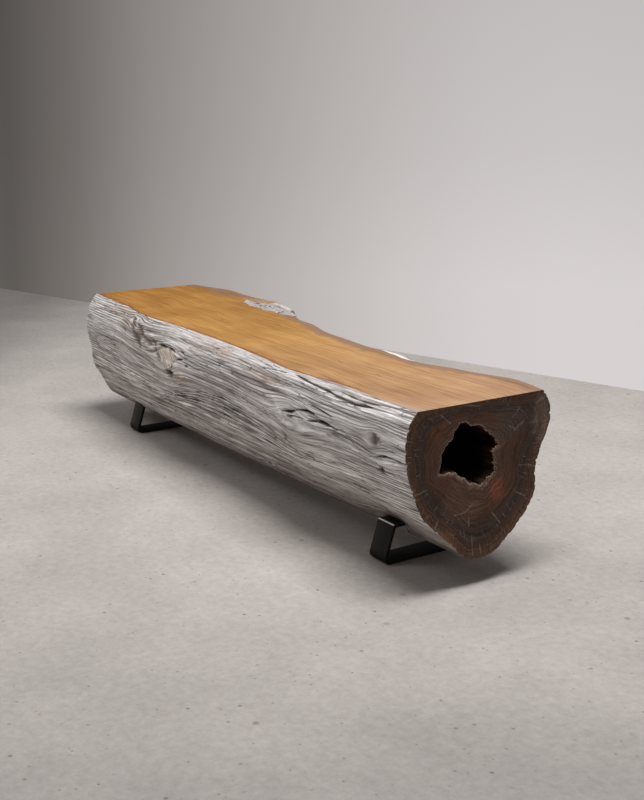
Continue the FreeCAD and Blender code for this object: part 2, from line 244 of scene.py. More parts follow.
def startGroup(name, inputs, outputs):
    group = bpy.data.node_groups.new(name, "ShaderNodeTree")
    for label, kind, value in inputs:
        socket = group.interface.new_socket(name=label, in_out="INPUT", socket_type=kind)
        if value is not None:
            socket.default_value = value
    for label in outputs:
        group.interface.new_socket(name=label, in_out="OUTPUT", socket_type="NodeSocketFloat")
    return group, group.nodes.new("NodeGroupInput").outputs, group.nodes.new("NodeGroupOutput").inputs


def addGroup(tree, group, values):
    node = tree.nodes.new("ShaderNodeGroup")
    node.node_tree = group
    for key, value in values.items():
        setSocket(tree, node.inputs[key], value)
    return node.outputs


fibreForm = {
    # how much finer than the broad ones each width of streak is, and its detail
    "streaks": {"Broad": (1.0, 4.0), "Fine": (5.0, 3.0), "Hair": (22.0, 2.0)},
    # fineness and width of the two sets of splits, and where they show
    "splits": ((1.5, 0.018), (3.2, 0.022)), "splitPatch": 0.37, "splitLeast": 0.42, "splitGain": 6.0,
    # even ridges, deep in some places and faint in others
    "ribDraw": (0.10, 1.0, 0.10), "ribScale": 1.05, "ribEdge": 2.6,
    "ribPatch": 13.0, "ribLeast": 0.36, "ribGain": 4.0,
}


def makeFibreGroup():
    # streaks, splits and ribs that follow the first axis of the map
    group, start, end = startGroup(
        "woodFibres",
        [("Map", "NodeSocketVector", None), ("Along", "NodeSocketFloat", 3.0),
         ("Across", "NodeSocketFloat", 40.0), ("Wander", "NodeSocketFloat", 0.01)],
        ("Broad", "Fine", "Hair", "Split", "Rib"))
    shift = addVector(group, "SUBTRACT", addNoise(group, start["Map"], 5.0)["Color"], (0.5, 0.5, 0.5))
    place = addVector(group, "ADD", start["Map"], addVector(group, "SCALE", shift, start["Wander"]))

    def drawn(along, across):
        across = addMath(group, "MULTIPLY", start["Across"], across)
        along = addMath(group, "MULTIPLY", start["Along"], along)
        return addVector(group, "MULTIPLY", place, addMap(group, along, across, along))

    for label, (stretch, detail) in fibreForm["streaks"].items():
        streak = addNoise(group, drawn(stretch ** 0.6, stretch), 1.0, detail, 0.6)["Fac"]
        group.links.new(streak, end[label])
    lines = None
    for stretch, width in fibreForm["splits"]:
        spot = drawn(0.9 * stretch, stretch)
        wave = addMath(group, "SUBTRACT", addNoise(group, spot, 1.0, 1.0)["Fac"], 0.5)
        line = addNear(group, addMath(group, "ABSOLUTE", wave), width)
        patch = addNoise(group, spot, fibreForm["splitPatch"])["Fac"]
        where = addOver(group, patch, fibreForm["splitLeast"], fibreForm["splitGain"])
        line = addMath(group, "MULTIPLY", line, where)
        lines = line if lines is None else addMath(group, "MAXIMUM", lines, line)
    group.links.new(lines, end["Split"])
    long = addVector(group, "MULTIPLY", place, fibreForm["ribDraw"])
    rib = addNode(group, "ShaderNodeTexWave", {
        "Vector": long, "Scale": addMath(group, "MULTIPLY", start["Across"], fibreForm["ribScale"]),
        "Distortion": 3.2, "Detail": 2.0, "Detail Scale": 0.8, "Detail Roughness": 0.55},
        wave_type="BANDS", bands_direction="Y").outputs["Fac"]
    patch = addNoise(group, long, fibreForm["ribPatch"])["Fac"]
    weight = addOver(group, patch, fibreForm["ribLeast"], fibreForm["ribGain"])
    groove = addMath(group, "SUBTRACT", 1.0, addMath(group, "MULTIPLY", rib, fibreForm["ribEdge"]), clamp=True)
    group.links.new(addMath(group, "MULTIPLY", groove, weight), end["Rib"])
    return group


def makeMarkGroup():
    # a thin straight mark between two points, soft at its sides and ends
    group, start, end = startGroup(
        "thinMark",
        [("Point", "NodeSocketVector", None), ("Start", "NodeSocketVector", None),
         ("End", "NodeSocketVector", None), ("Width", "NodeSocketFloat", 0.001)],
        ("Mask",))
    reach = addVector(group, "SUBTRACT", start["End"], start["Start"])
    away = addVector(group, "SUBTRACT", start["Point"], start["Start"])
    share = addMath(group, "DIVIDE", addVector(group, "DOT_PRODUCT", away, reach),
                    addVector(group, "DOT_PRODUCT", reach, reach), clamp=True)
    gap = addVector(group, "DISTANCE", away, addVector(group, "SCALE", reach, share))
    group.links.new(addNear(group, gap, start["Width"]), end["Mask"])
    return group


fibreGroup = makeFibreGroup()
markGroup = makeMarkGroup()

room = {
    "edgeMiddle": (-2.1, 1.13, 0), "edgeTurn": 17.44, "length": 18.0, "depth": 13.0,
    "floor": (0.650, 0.600, 0.566), "rough": 0.72, "specular": 0.5, "bump": (0.15, 0.01),
    "cloud": (2.2, 8.0, 0.62), "cloudLevels": [(0.3, 0.85), (0.7, 1.12)],
    "grit": (48.0, 5.0, 0.75), "gritTones": [(0.3, (0.84, 0.83, 0.82)), (0.7, 1.12)],
    # small pits: how close together, how wide, and how rare
    "pits": ((9.0, 0.085, 0.52), (24.0, 0.120, 0.44), (52.0, 0.160, 0.50)), "pit": (0.17, 0.145, 0.13),
    # painted light and shade: how the floor's tone changes away from the camera, and from its left to its right
    "awayScale": 0.2, "rightScale": 0.25,
    "awayPaintedShade": [(0.10, 0.61), (0.20, 0.76), (0.30, 0.91), (0.44, 1.03), (0.60, 1.10), (0.90, 1.20)],
    "rightPaintedShade": [(0.115, 0.60), (0.18, 0.80), (0.24, 0.98), (0.35, 0.93), (0.50, 0.97), (0.62, 0.97),
                   (0.73, 1.00), (0.93, 0.93)],
    # how bright the wall is, from the camera's left to its right, and from low to high
    "wallScale": 0.85, "riseScale": 2.0, "skyStrength": 0.080,
    "wall": [(0.00, 0.420), (0.10, 0.300), (0.20, 0.140), (0.2875, 0.098), (0.33, 0.165), (0.385, 0.285),
             (0.441, 0.378), (0.50, 0.462), (0.556, 0.527), (0.612, 0.571), (0.667, 0.588), (1.0, 0.560)],
    "riseTones": [(0.20, 1.15), (0.42, 1.0), (0.65, 0.92)],
    "lamps": {
        "softbox": {"place": (1.36, -0.15, 5.0), "aim": (0.3, 0.0, 0.3), "size": (2.9, 1.5),
                    "spread": 180, "power": 215, "benchOnly": False},
        "frontFill": {"place": (-0.5, -3.9, 3.8), "aim": (-0.2, 0.0, 0.3), "size": (2.2, 2.2),
                      "spread": 180, "power": 68, "benchOnly": True},
        "frontGlow": {"place": (-1.8, -3.2, 3.7), "aim": (-0.7, -0.2, 0.0), "size": (2.0, 2.0),
                      "spread": 90, "power": 8.5, "benchOnly": False},
    },
}


def makeFloor():
    deselectAll()
    bpy.ops.mesh.primitive_plane_add(size=1)
    floor = bpy.context.object
    floor.name = "floor"
    turn = math.radians(room["edgeTurn"])
    floor.scale = (room["length"], room["depth"], 1)
    floor.rotation_euler = (0, 0, turn)
    floor.location = Vector(room["edgeMiddle"]) + Vector((math.sin(turn), -math.cos(turn), 0)) * room["depth"] / 2
    applyPlace(floor)
    material, tree = startMaterial("trowelledFloor")
    place = objectPlace(tree)
    cloud = addNoise(tree, place, *room["cloud"])["Fac"]
    grit = addNoise(tree, place, *room["grit"])["Fac"]
    tone = addRamp(tree, cloud, [
        (at, tuple(c * level for c in room["floor"])) for at, level in room["cloudLevels"]])
    tone = addTint(tree, tone, 0.9, grit, room["gritTones"])
    turn = math.radians(view["turn"])
    away = addVector(tree, "DOT_PRODUCT", place, (-math.sin(turn), math.cos(turn), 0))
    # painted light and shade: darker near the camera and towards the far left
    tone = addTint(tree, tone, 1.0, addShare(tree, away, room["awayScale"]), room["awayPaintedShade"])
    right = addVector(tree, "DOT_PRODUCT", place, (math.cos(turn), math.sin(turn), 0))
    tone = addTint(tree, tone, 1.0, addShare(tree, right, room["rightScale"]), room["rightPaintedShade"])
    for scale, size, least in room["pits"]:
        pits = addNode(tree, "ShaderNodeTexVoronoi", {"Vector": place, "Scale": scale, "Randomness": 1.0}).outputs
        speck = addMath(tree, "POWER", addNear(tree, pits["Distance"], size), 0.6)
        rare = addOver(tree, pits["Color"], least, 3.0)
        tone = addMix(tree, addMath(tree, "MULTIPLY", speck, rare), tone, room["pit"])
    floor.data.materials.append(finishMaterial(material, room, tone, cloud))


def makeBackdrop():
    # the camera sees a pale studio wall that falls off to one side; the bench gets even light
    world = bpy.data.worlds.new("studioWall")
    bpy.context.scene.world = world
    world.use_nodes = True
    tree = world.node_tree
    light = tree.nodes["Background"]
    direction = addNode(tree, "ShaderNodeTexCoord").outputs["Generated"]
    turn = math.radians(view["turn"])
    side = addVector(tree, "DOT_PRODUCT", direction, (math.cos(turn), math.sin(turn), 0))
    wall = addRamp(tree, addShare(tree, side, room["wallScale"]), [
        (at, (c, c * (0.90 + 0.09 * c), c * (0.81 + 0.23 * c))) for at, c in room["wall"]])
    rise = addShare(tree, axesOf(tree, direction)["Z"], room["riseScale"])
    wall = addTint(tree, wall, 1.0, rise, room["riseTones"])
    path = addNode(tree, "ShaderNodeLightPath").outputs
    seen = addMath(tree, "MAXIMUM", path["Is Camera Ray"], path["Is Glossy Ray"])
    tree.links.new(addMix(tree, seen, room["skyStrength"], wall), light.inputs["Color"])
    light.inputs["Strength"].default_value = 1.0


def makeLamps():
    for name, lamp in room["lamps"].items():
        bpy.ops.object.light_add(type="AREA", location=lamp["place"])
        light = bpy.context.object
        light.name = name
        aim = Vector(lamp["aim"]) - Vector(lamp["place"])
        light.rotation_euler = aim.to_track_quat("-Z", "Y").to_euler()
        light.data.shape = "RECTANGLE"
        light.data.size, light.data.size_y = lamp["size"]
        light.data.spread = math.radians(lamp["spread"])
        light.data.energy = lamp["power"]
        if lamp["benchOnly"]:
            # the fill brightens the bench and leaves its shadow on the floor dark
            spared = bpy.data.collections.new("sparedBy" + name)
            spared.objects.link(bpy.data.objects["floor"])
            spared.collection_objects[0].light_linking.link_state = "EXCLUDE"
            light.light_linking.receiver_collection = spared


makeFloor()
makeBackdrop()
makeLamps()
print("room and lamps in place")

logForm = {
    "halfLength": 0.95, "halfWidth": 0.215, "legLine": -0.039, "seat": 0.445, "belly": 0.065,
    "sideLimits": (-0.2722, 0.2722), "legsAt": (0.707, -0.707),
    # height share, then the side's place at the hollow end and at the far end
    "frontSide": [
        (1.00, -0.907, -0.614), (0.89, -1.028, -0.758), (0.78, -1.051, -0.809),
        (0.64, -1.023, -0.800), (0.50, -0.940, -0.749), (0.36, -0.823, -0.728),
        (0.24, -0.628, -0.600), (0.12, -0.372, -0.465), (0.03, -0.190, -0.280),
        (0.00, -0.023, 0.000)],
    "backSide": [
        (0.03, 0.228, 0.350), (0.12, 0.428, 0.630), (0.24, 0.637, 0.860),
        (0.36, 0.753, 1.010), (0.50, 0.753, 1.130), (0.64, 0.823, 1.210),
        (0.78, 0.926, 1.247), (0.89, 0.930, 1.220), (0.96, 0.870, 1.180),
        (1.00, 0.814, 1.140)],
    "crown": [(0.90, 1.09), (0.70, 1.17), (0.50, 1.20), (0.30, 1.17), (0.10, 1.09)],
    # station, front edge and back edge of the seat
    "edges": [
        (-1.000, -0.614, 1.140), (-0.905, -0.647, 1.247), (-0.800, -0.674, 1.358),
        (-0.684, -0.707, 1.321), (-0.568, -0.800, 1.326), (-0.463, -0.833, 1.391),
        (-0.368, -0.828, 1.340), (-0.268, -0.791, 1.140), (-0.168, -0.795, 0.902),
        (-0.042, -0.800, 0.823), (0.084, -0.814, 0.674), (0.211, -0.851, 0.623),
        (0.337, -0.898, 0.577), (0.463, -0.963, 0.605), (0.568, -0.930, 0.526),
        (0.674, -0.879, 0.660), (0.779, -0.898, 0.781), (0.880, -0.912, 0.910),
        (0.945, -0.905, 0.868), (1.000, -0.907, 0.814)],
    # station, reach along, height, reach up, side, amount
    "swellings": [
        (0.744, 0.11, 0.15, 0.08, -1, -0.130), (-0.050, 1.10, 0.05, 0.12, -1, 0.110),
        (0.490, 0.14, 0.55, 0.22, -1, 0.055), (-0.250, 0.13, 0.62, 0.24, -1, 0.060),
        (0.780, 0.10, 0.45, 0.25, 1, 0.035), (0.490, 0.09, 0.95, 0.035, 1, 0.130),
        (-0.400, 0.16, 0.66, 0.26, 1, 0.090)],
    # long furrows between the log's corners, and the scar with its branch stub
    "corners": 96, "furrowRuns": 2.5, "furrowStagger": 0.618, "furrowFade": 0.8,
    "furrowDepth": 0.005, "furrowSharp": 1.3, "firstFurrow": 3,
    "scar": {"place": (-0.251, 0.356), "reach": (0.062, 0.026), "depth": 0.012},
    "stub": {"place": (-0.258, 0.347), "reach": (0.042, 0.018), "lean": 38, "rise": 0.004},
    "stations": 146, "sideColumns": 466, "endRings": 22, "hollowRings": 16,
    "farRings": 7, "farPith": (0.02, 0.26),
    # how far the sawn end is sunk at the hollow's rim and worn at its arris, and over what distance
    "rimSunk": (0.0035, 0.005), "edgeWorn": (0.0012, 0.004), "sawMarks": 0.0006,
    # stations lie closer together round these: x, reach, how much closer
    "stationFocus": ((-0.30, 0.20, 1.3), (0.62, 0.28, 0.8)),
    # how far the skin stays clear of the saw plane, the belly and the ends
    "seatMargin": 0.0004, "bellyMargin": 0.0005, "endMargin": 0.0002,
    # where the seat's columns lie between its back and its front edge
    "seatShares": [0.012, 0.03, 0.05, 0.075, 0.105, 0.14, 0.18, 0.23, 0.29, 0.36, 0.43, 0.50,
                   0.57, 0.64, 0.71, 0.77, 0.82, 0.86, 0.895, 0.925, 0.95, 0.97, 0.988],
}


def ripple(u, v, seed):
    # smooth random waves between -1 and 1, the same every run
    def corner(a, b, du, dv):
        turn = np.sin(a * 127.1 + b * 311.7 + seed * 74.7) * 43758.5453
        turn = (turn - np.floor(turn)) * 2 * np.pi
        return np.cos(turn) * du + np.sin(turn) * dv
    iu, iv = np.floor(u), np.floor(v)
    fu, fv = u - iu, v - iv
    su = fu ** 3 * (fu * (fu * 6 - 15) + 10)
    sv = fv ** 3 * (fv * (fv * 6 - 15) + 10)
    low = corner(iu, iv, fu, fv) * (1 - su) + corner(iu + 1, iv, fu - 1, fv) * su
    high = corner(iu, iv + 1, fu, fv - 1) * (1 - su)
    high = high + corner(iu + 1, iv + 1, fu - 1, fv - 1) * su
    return (low * (1 - sv) + high * sv) * 1.5


def ripples(u, v, table):
    # each row is how many waves go along u and v, a seed and a height
    return sum(height * ripple(u * alongU, v * alongV, seed) for alongU, alongV, seed, height in table)


def smoothTable(xs, ys, at):
    # a smooth curve through the table's points
    slopes = np.gradient(ys, xs)
    k = np.clip(np.searchsorted(xs, at, side="right") - 1, 0, len(xs) - 2)
    step = xs[k + 1] - xs[k]
    t = (at - xs[k]) / step
    return ((2 * t ** 3 - 3 * t ** 2 + 1) * ys[k] + (t ** 3 - 2 * t ** 2 + t) * step * slopes[k]
            + (3 * t ** 2 - 2 * t ** 3) * ys[k + 1] + (t ** 3 - t ** 2) * step * slopes[k + 1])


def logCorners(shares):
    # y and z of the outline's corners at each station share, [station, corner]
    edges = np.array(logForm["edges"])
    frontEdge = smoothTable(edges[:, 0], edges[:, 1], shares)
    backEdge = smoothTable(edges[:, 0], edges[:, 2], shares)
    depth = logForm["seat"] - logForm["belly"]
    near = (shares + 1) / 2
    ys, zs = [], []
    for table, side, edge in (("frontSide", -1, frontEdge), ("backSide", 1, backEdge)):
        rows = logForm[table]
        top = max(rows)
        shift = edge - (top[2] + (top[1] - top[2]) * near)
        for height, nearShare, farShare in rows:
            share = farShare + (nearShare - farShare) * near
            share = share + shift * max((height - 0.2) / 0.8, 0) ** 1.5
            for place, reach, level, reachUp, swellSide, amount in logForm["swellings"]:
                if swellSide == side:
                    share = share + side * amount * np.exp(
                        -((shares - place) / reach) ** 2 - ((height - level) / reachUp) ** 2)
            ys.append(logForm["legLine"] + share * logForm["halfWidth"])
            zs.append(np.full_like(shares, logForm["belly"] + height * depth))
    front, back = ys[0], ys[-1]
    for place, height in logForm["crown"]:
        ys.append(front + place * (back - front))
        zs.append(np.full_like(shares, logForm["belly"] + height * depth))
    return np.array(ys).T, np.array(zs).T


def roundSpline(points, knots, places):
    # closed smooth curve through each station's corners
    count = len(knots) - 1
    step = np.diff(knots)
    matrix = np.zeros((count, count))
    for k in range(count):
        matrix[k, k - 1] += step[k - 1]
        matrix[k, k] += 2 * (step[k - 1] + step[k])
        matrix[k, (k + 1) % count] += step[k]
    slope = (np.roll(points, -1, axis=1) - points) / step
    bend = np.linalg.solve(matrix, 6 * (slope - np.roll(slope, 1, axis=1)).T).T
    k = np.clip(np.searchsorted(knots, places, side="right") - 1, 0, count - 1)
    ahead = (k + 1) % count
    b = (places - knots[k]) / step[k]
    a = 1 - b
    return (a * points[:, k] + b * points[:, ahead]
            + ((a ** 3 - a) * bend[:, k] + (b ** 3 - b) * bend[:, ahead]) * step[k] ** 2 / 6)


def spacedBy(weight, low, high, count):
    # places from low to high, closer together where the weight is larger
    fine = np.linspace(low, high, 2000)
    total = np.concatenate([[0], np.cumsum(weight((fine[1:] + fine[:-1]) / 2))])
    return np.interp(np.linspace(0, total[-1], count), total, fine)


weather = {
    # slow bends of the grain, then the swells, ridges and ribs that follow it, as ripples
    "bends": ((1.3, 5, 3, 0.012), (4, 14, 4, 0.004)),
    "waves": ((2.4, 11, 5, 0.0012), (3.2, 42, 6, 0.0009), (4.5, 105, 7, 0.0008)),
    # three sizes of crack: ripples along and across, seed, width, how rare, depth
    "cracks": ((1.3, 30, 11, 0.045, 0.26, 0.0036), (2.2, 62, 12, 0.090, 0.04, 0.0024),
               (3.0, 105, 13, 0.160, 0.02, 0.0016)),
    # how deep a crack has to be for its painted shade to turn black, and the relief's limits and span
    "shadeDepth": 0.006, "limits": (-0.020, 0.0045), "highSpan": 0.009,
    # nicks at the sawn arris, the raised ring round a knot, and the painted shade in its eye
    "nickDepth": 0.0035, "nickReach": 0.03, "knotRing": 0.0010, "knotEyeShade": 0.5,
    # how the grain turns round a knot and parts in front of it
    "knotLength": 1.8, "swirlReach": 1.6, "swirlShear": 0.5, "partPush": 0.8, "partCore": 0.62,
    # x, height on the front, reach, how far the grain swirls round it, depth
    "knots": [
        (-0.255, 0.345, 0.042, 0.25, 0.000), (-0.505, 0.416, 0.018, -0.15, 0.002),
        (0.485, 0.335, 0.036, -0.30, 0.000), (0.832, 0.355, 0.018, 0.25, 0.001),
        (-0.532, 0.409, 0.008, 0.1, 0.004), (-0.474, 0.415, 0.012, 0.1, 0.005),
        (-0.386, 0.316, 0.007, 0.1, 0.003),
        (0.170, 0.112, 0.012, 0.3, 0.003), (-0.122, 0.403, 0.005, 0.1, 0.004),
        (-0.109, 0.393, 0.004, 0.1, 0.004), (-0.073, 0.359, 0.006, 0.2, 0.004)],
    # points on the front (x, height), width, depth, how brown
    "gashes": [
        ([(-0.520, 0.406), (-0.490, 0.388), (-0.462, 0.362), (-0.440, 0.340)], 0.0090, 0.004, 0.80),
        ([(-0.478, 0.418), (-0.440, 0.400), (-0.405, 0.384), (-0.352, 0.372)], 0.0120, 0.007, 0.90),
        ([(-0.520, 0.408), (-0.480, 0.382), (-0.436, 0.356)], 0.0200, 0.003, 0.60),
        ([(-0.171, 0.396), (-0.165, 0.393)], 0.0042, 0.008, 0.1),
        ([(-0.157, 0.386), (-0.151, 0.383)], 0.0036, 0.007, 0.1),
        ([(-0.136, 0.349), (-0.126, 0.345)], 0.0050, 0.009, 0.1),
        ([(-0.352, 0.392), (-0.328, 0.378), (-0.316, 0.352), (-0.292, 0.330)], 0.0070, 0.006, 0.70),
        ([(-0.300, 0.382), (-0.264, 0.383), (-0.222, 0.382), (-0.186, 0.372)], 0.0036, 0.008, 0.0),
        ([(-0.200, 0.372), (-0.188, 0.357), (-0.150, 0.363)], 0.0050, 0.010, 0.0),
        ([(-0.266, 0.304), (-0.244, 0.299), (-0.222, 0.309)], 0.0140, 0.014, 0.10),
        ([(0.455, 0.345), (0.492, 0.350), (0.520, 0.362), (0.556, 0.366), (0.600, 0.358)], 0.0050, 0.009, 0.0),
        ([(0.470, 0.334), (0.500, 0.342), (0.535, 0.343)], 0.0035, 0.005, 0.2),
        ([(0.560, 0.356), (0.620, 0.352), (0.680, 0.343)], 0.0030, 0.004, 0.2),
        ([(0.565, 0.342), (0.600, 0.349), (0.645, 0.345)], 0.0045, 0.008, 0.0),
        ([(0.560, 0.384), (0.609, 0.378), (0.660, 0.370)], 0.0024, 0.004, 0.0),
        ([(0.436, 0.292), (0.430, 0.262), (0.450, 0.250)], 0.0080, 0.002, 0.7),
        ([(0.834, 0.318), (0.867, 0.328), (0.902, 0.330), (0.948, 0.328)], 0.0036, 0.009, 0.0),
        ([(0.858, 0.308), (0.846, 0.284), (0.838, 0.266)], 0.0060, 0.003, 0.1),
        ([(0.842, 0.374), (0.835, 0.356), (0.828, 0.340)], 0.0170, 0.003, 0.40),
        ([(0.505, 0.234), (0.540, 0.237)], 0.0030, 0.006, 0.0),
        ([(0.545, 0.228), (0.575, 0.232)], 0.0030, 0.007, 0.0),
        ([(0.480, 0.440), (0.540, 0.432), (0.620, 0.424)], 0.0040, 0.005, 0.25),
        ([(0.600, 0.428), (0.653, 0.420), (0.736, 0.419), (0.800, 0.425)], 0.0055, 0.005, 0.45),
        ([(0.660, 0.432), (0.740, 0.430), (0.830, 0.434)], 0.0030, 0.003, 0.35),
        ([(0.300, 0.424), (0.378, 0.433), (0.447, 0.438)], 0.0020, 0.004, 0.0),
        ([(-0.185, 0.259), (-0.059, 0.282), (0.083, 0.289), (0.180, 0.286), (0.300, 0.280)], 0.0022, 0.005, 0.0),
        ([(-0.264, 0.231), (-0.116, 0.241), (0.064, 0.261), (0.227, 0.257)], 0.0020, 0.005, 0.0),
        ([(0.640, 0.340), (0.733, 0.334), (0.836, 0.322)], 0.0018, 0.004, 0.0)],
    # how a gash's line strays, as a share of its width, and how its width changes
    "gashRag": ((22, 60, 20, 0.25),), "gashWobble": ((26, 30, 21, 0.55),),
    # long grooves that fan out between an upper and a lower line, and where each lies between them
    "grooveGuides": [
        [(-0.336, 0.226), (-0.089, 0.272), (0.044, 0.281), (0.185, 0.274), (0.372, 0.261), (0.488, 0.254)],
        [(-0.386, 0.188), (-0.136, 0.210), (0.018, 0.208), (0.161, 0.206), (0.350, 0.199), (0.443, 0.196)]],
    "grooveShares": (0.0, 0.13, 0.30, 0.42, 0.60, 0.76, 1.0),
    "grooveWidth": 0.0032, "grooveDepth": 0.0030, "grooveShade": 0.75,
    # long pale shoulders that stand out: points, width, rise
    "shoulders": [
        ([(0.400, 0.372), (0.436, 0.346), (0.452, 0.318), (0.480, 0.303)], 0.010, 0.0040),
        ([(0.520, 0.431), (0.615, 0.414), (0.691, 0.408), (0.764, 0.409), (0.846, 0.420), (0.949, 0.418)],
         0.018, 0.0042),
        ([(-0.190, 0.335), (-0.160, 0.318), (-0.176, 0.296), (-0.226, 0.262)], 0.009, 0.0025),
        ([(0.860, 0.312), (0.900, 0.318), (0.949, 0.318)], 0.010, 0.0030),
        ([(-0.430, 0.342), (-0.395, 0.352), (-0.355, 0.360)], 0.006, 0.0025)],
    # torn lumps of dead wood: x, height, reach along and across, lean in degrees, rise, how brown
    "lumps": [
        (-0.385, 0.394, 0.095, 0.016, 9, 0.004, 0.5), (-0.519, 0.433, 0.014, 0.008, 10, 0.0045, 0.0),
        (-0.325, 0.368, 0.020, 0.008, 60, 0.004, 0.5)],
    # brown patches: x, height, reach along and down
    "tanPatches": [
        (0.03, 0.424, 0.14, 0.013), (0.33, 0.408, 0.08, 0.014), (-0.600, 0.402, 0.04, 0.024),
        (-0.66, 0.430, 0.09, 0.016), (-0.580, 0.405, 0.05, 0.022), (-0.70, 0.318, 0.10, 0.010),
        (-0.20, 0.30, 0.08, 0.012), (0.86, 0.12, 0.20, 0.03), (0.30, 0.115, 0.25, 0.02)],
}


def frontDepth(side, x, height):
    # how far down the front, measured along the surface, that height lies at x
    station = int(np.argmin(np.abs(side["x"] - x)))
    half = side["z"].shape[1] // 2
    z = side["z"][station, :half]
    down = side["down"][station, :half]
    low = int(np.argmin(z))
    return float(np.interp(-height, -z[:low + 1], down[:low + 1]))


def grainFlow(side):
    # the side's own map: x along, and a line number across that parts round each knot
    x = np.repeat(side["x"][:, None], side["down"].shape[1], axis=1)
    down = side["down"]
    across = down + ripples(x, down, weather["bends"])
    along = x.copy()
    for place, height, reach, swirl, depth in weather["knots"]:
        middle = frontDepth(side, place, height)
        du, dv = along - place, across - middle
        far = np.sqrt((du / weather["knotLength"]) ** 2 + dv ** 2)
        turn = swirl * np.exp(-(far / (reach * weather["swirlReach"])) ** 2)
        across = middle + dv * np.cos(turn) + du * np.sin(turn) * weather["swirlShear"]
        dv = across - middle
        near = (du / weather["knotLength"]) ** 2 + dv ** 2
        across = across - dv * weather["partPush"] * reach ** 2 / (near + (weather["partCore"] * reach) ** 2)
    return along, across


def furrowPress(side):
    # every second corner of the outline is pressed in, in runs that start at different places
    at = side["places"] * logForm["corners"]
    odd = 2 * np.floor(at / 2) + 1
    share = np.clip(1 - np.abs(at - odd), 0, 1) * (odd >= logForm["firstFurrow"])
    station = side["x"][:, None] / logForm["halfLength"]
    run = logForm["furrowRuns"] * station / 2 + logForm["furrowStagger"] * odd[None, :]
    fade = 1 - logForm["furrowFade"] * station ** 2
    return logForm["furrowDepth"] * fade * np.abs(np.sin(np.pi * run)) * share ** logForm["furrowSharp"]


def gashMask(x, down, side, points, width):
    # 1 on the line through the points, fading to 0 at its sides, tapered to its ends
    line = [(px, frontDepth(side, px, pz)) for px, pz in points]
    best = np.full(x.shape, 1e9)
    share = np.zeros(x.shape)
    for number, (a, b) in enumerate(zip(line[:-1], line[1:])):
        du, dv = b[0] - a[0], b[1] - a[1]
        t = np.clip(((x - a[0]) * du + (down - a[1]) * dv) / (du * du + dv * dv), 0, 1)
        gap = np.hypot(x - a[0] - t * du, down - a[1] - t * dv)
        closer = gap < best
        best = np.where(closer, gap, best)
        share = np.where(closer, (number + t) / (len(line) - 1), share)
    taper = np.clip(4 * share * (1 - share) * 1.6, 0.08, 1) ** 0.5
    best = best + width * ripples(x, down, weather["gashRag"])
    wobble = 0.85 + ripples(x, down, weather["gashWobble"])
    return np.clip(1 - best / (width * taper * np.clip(wobble, 0.25, 2)), 0, 1)


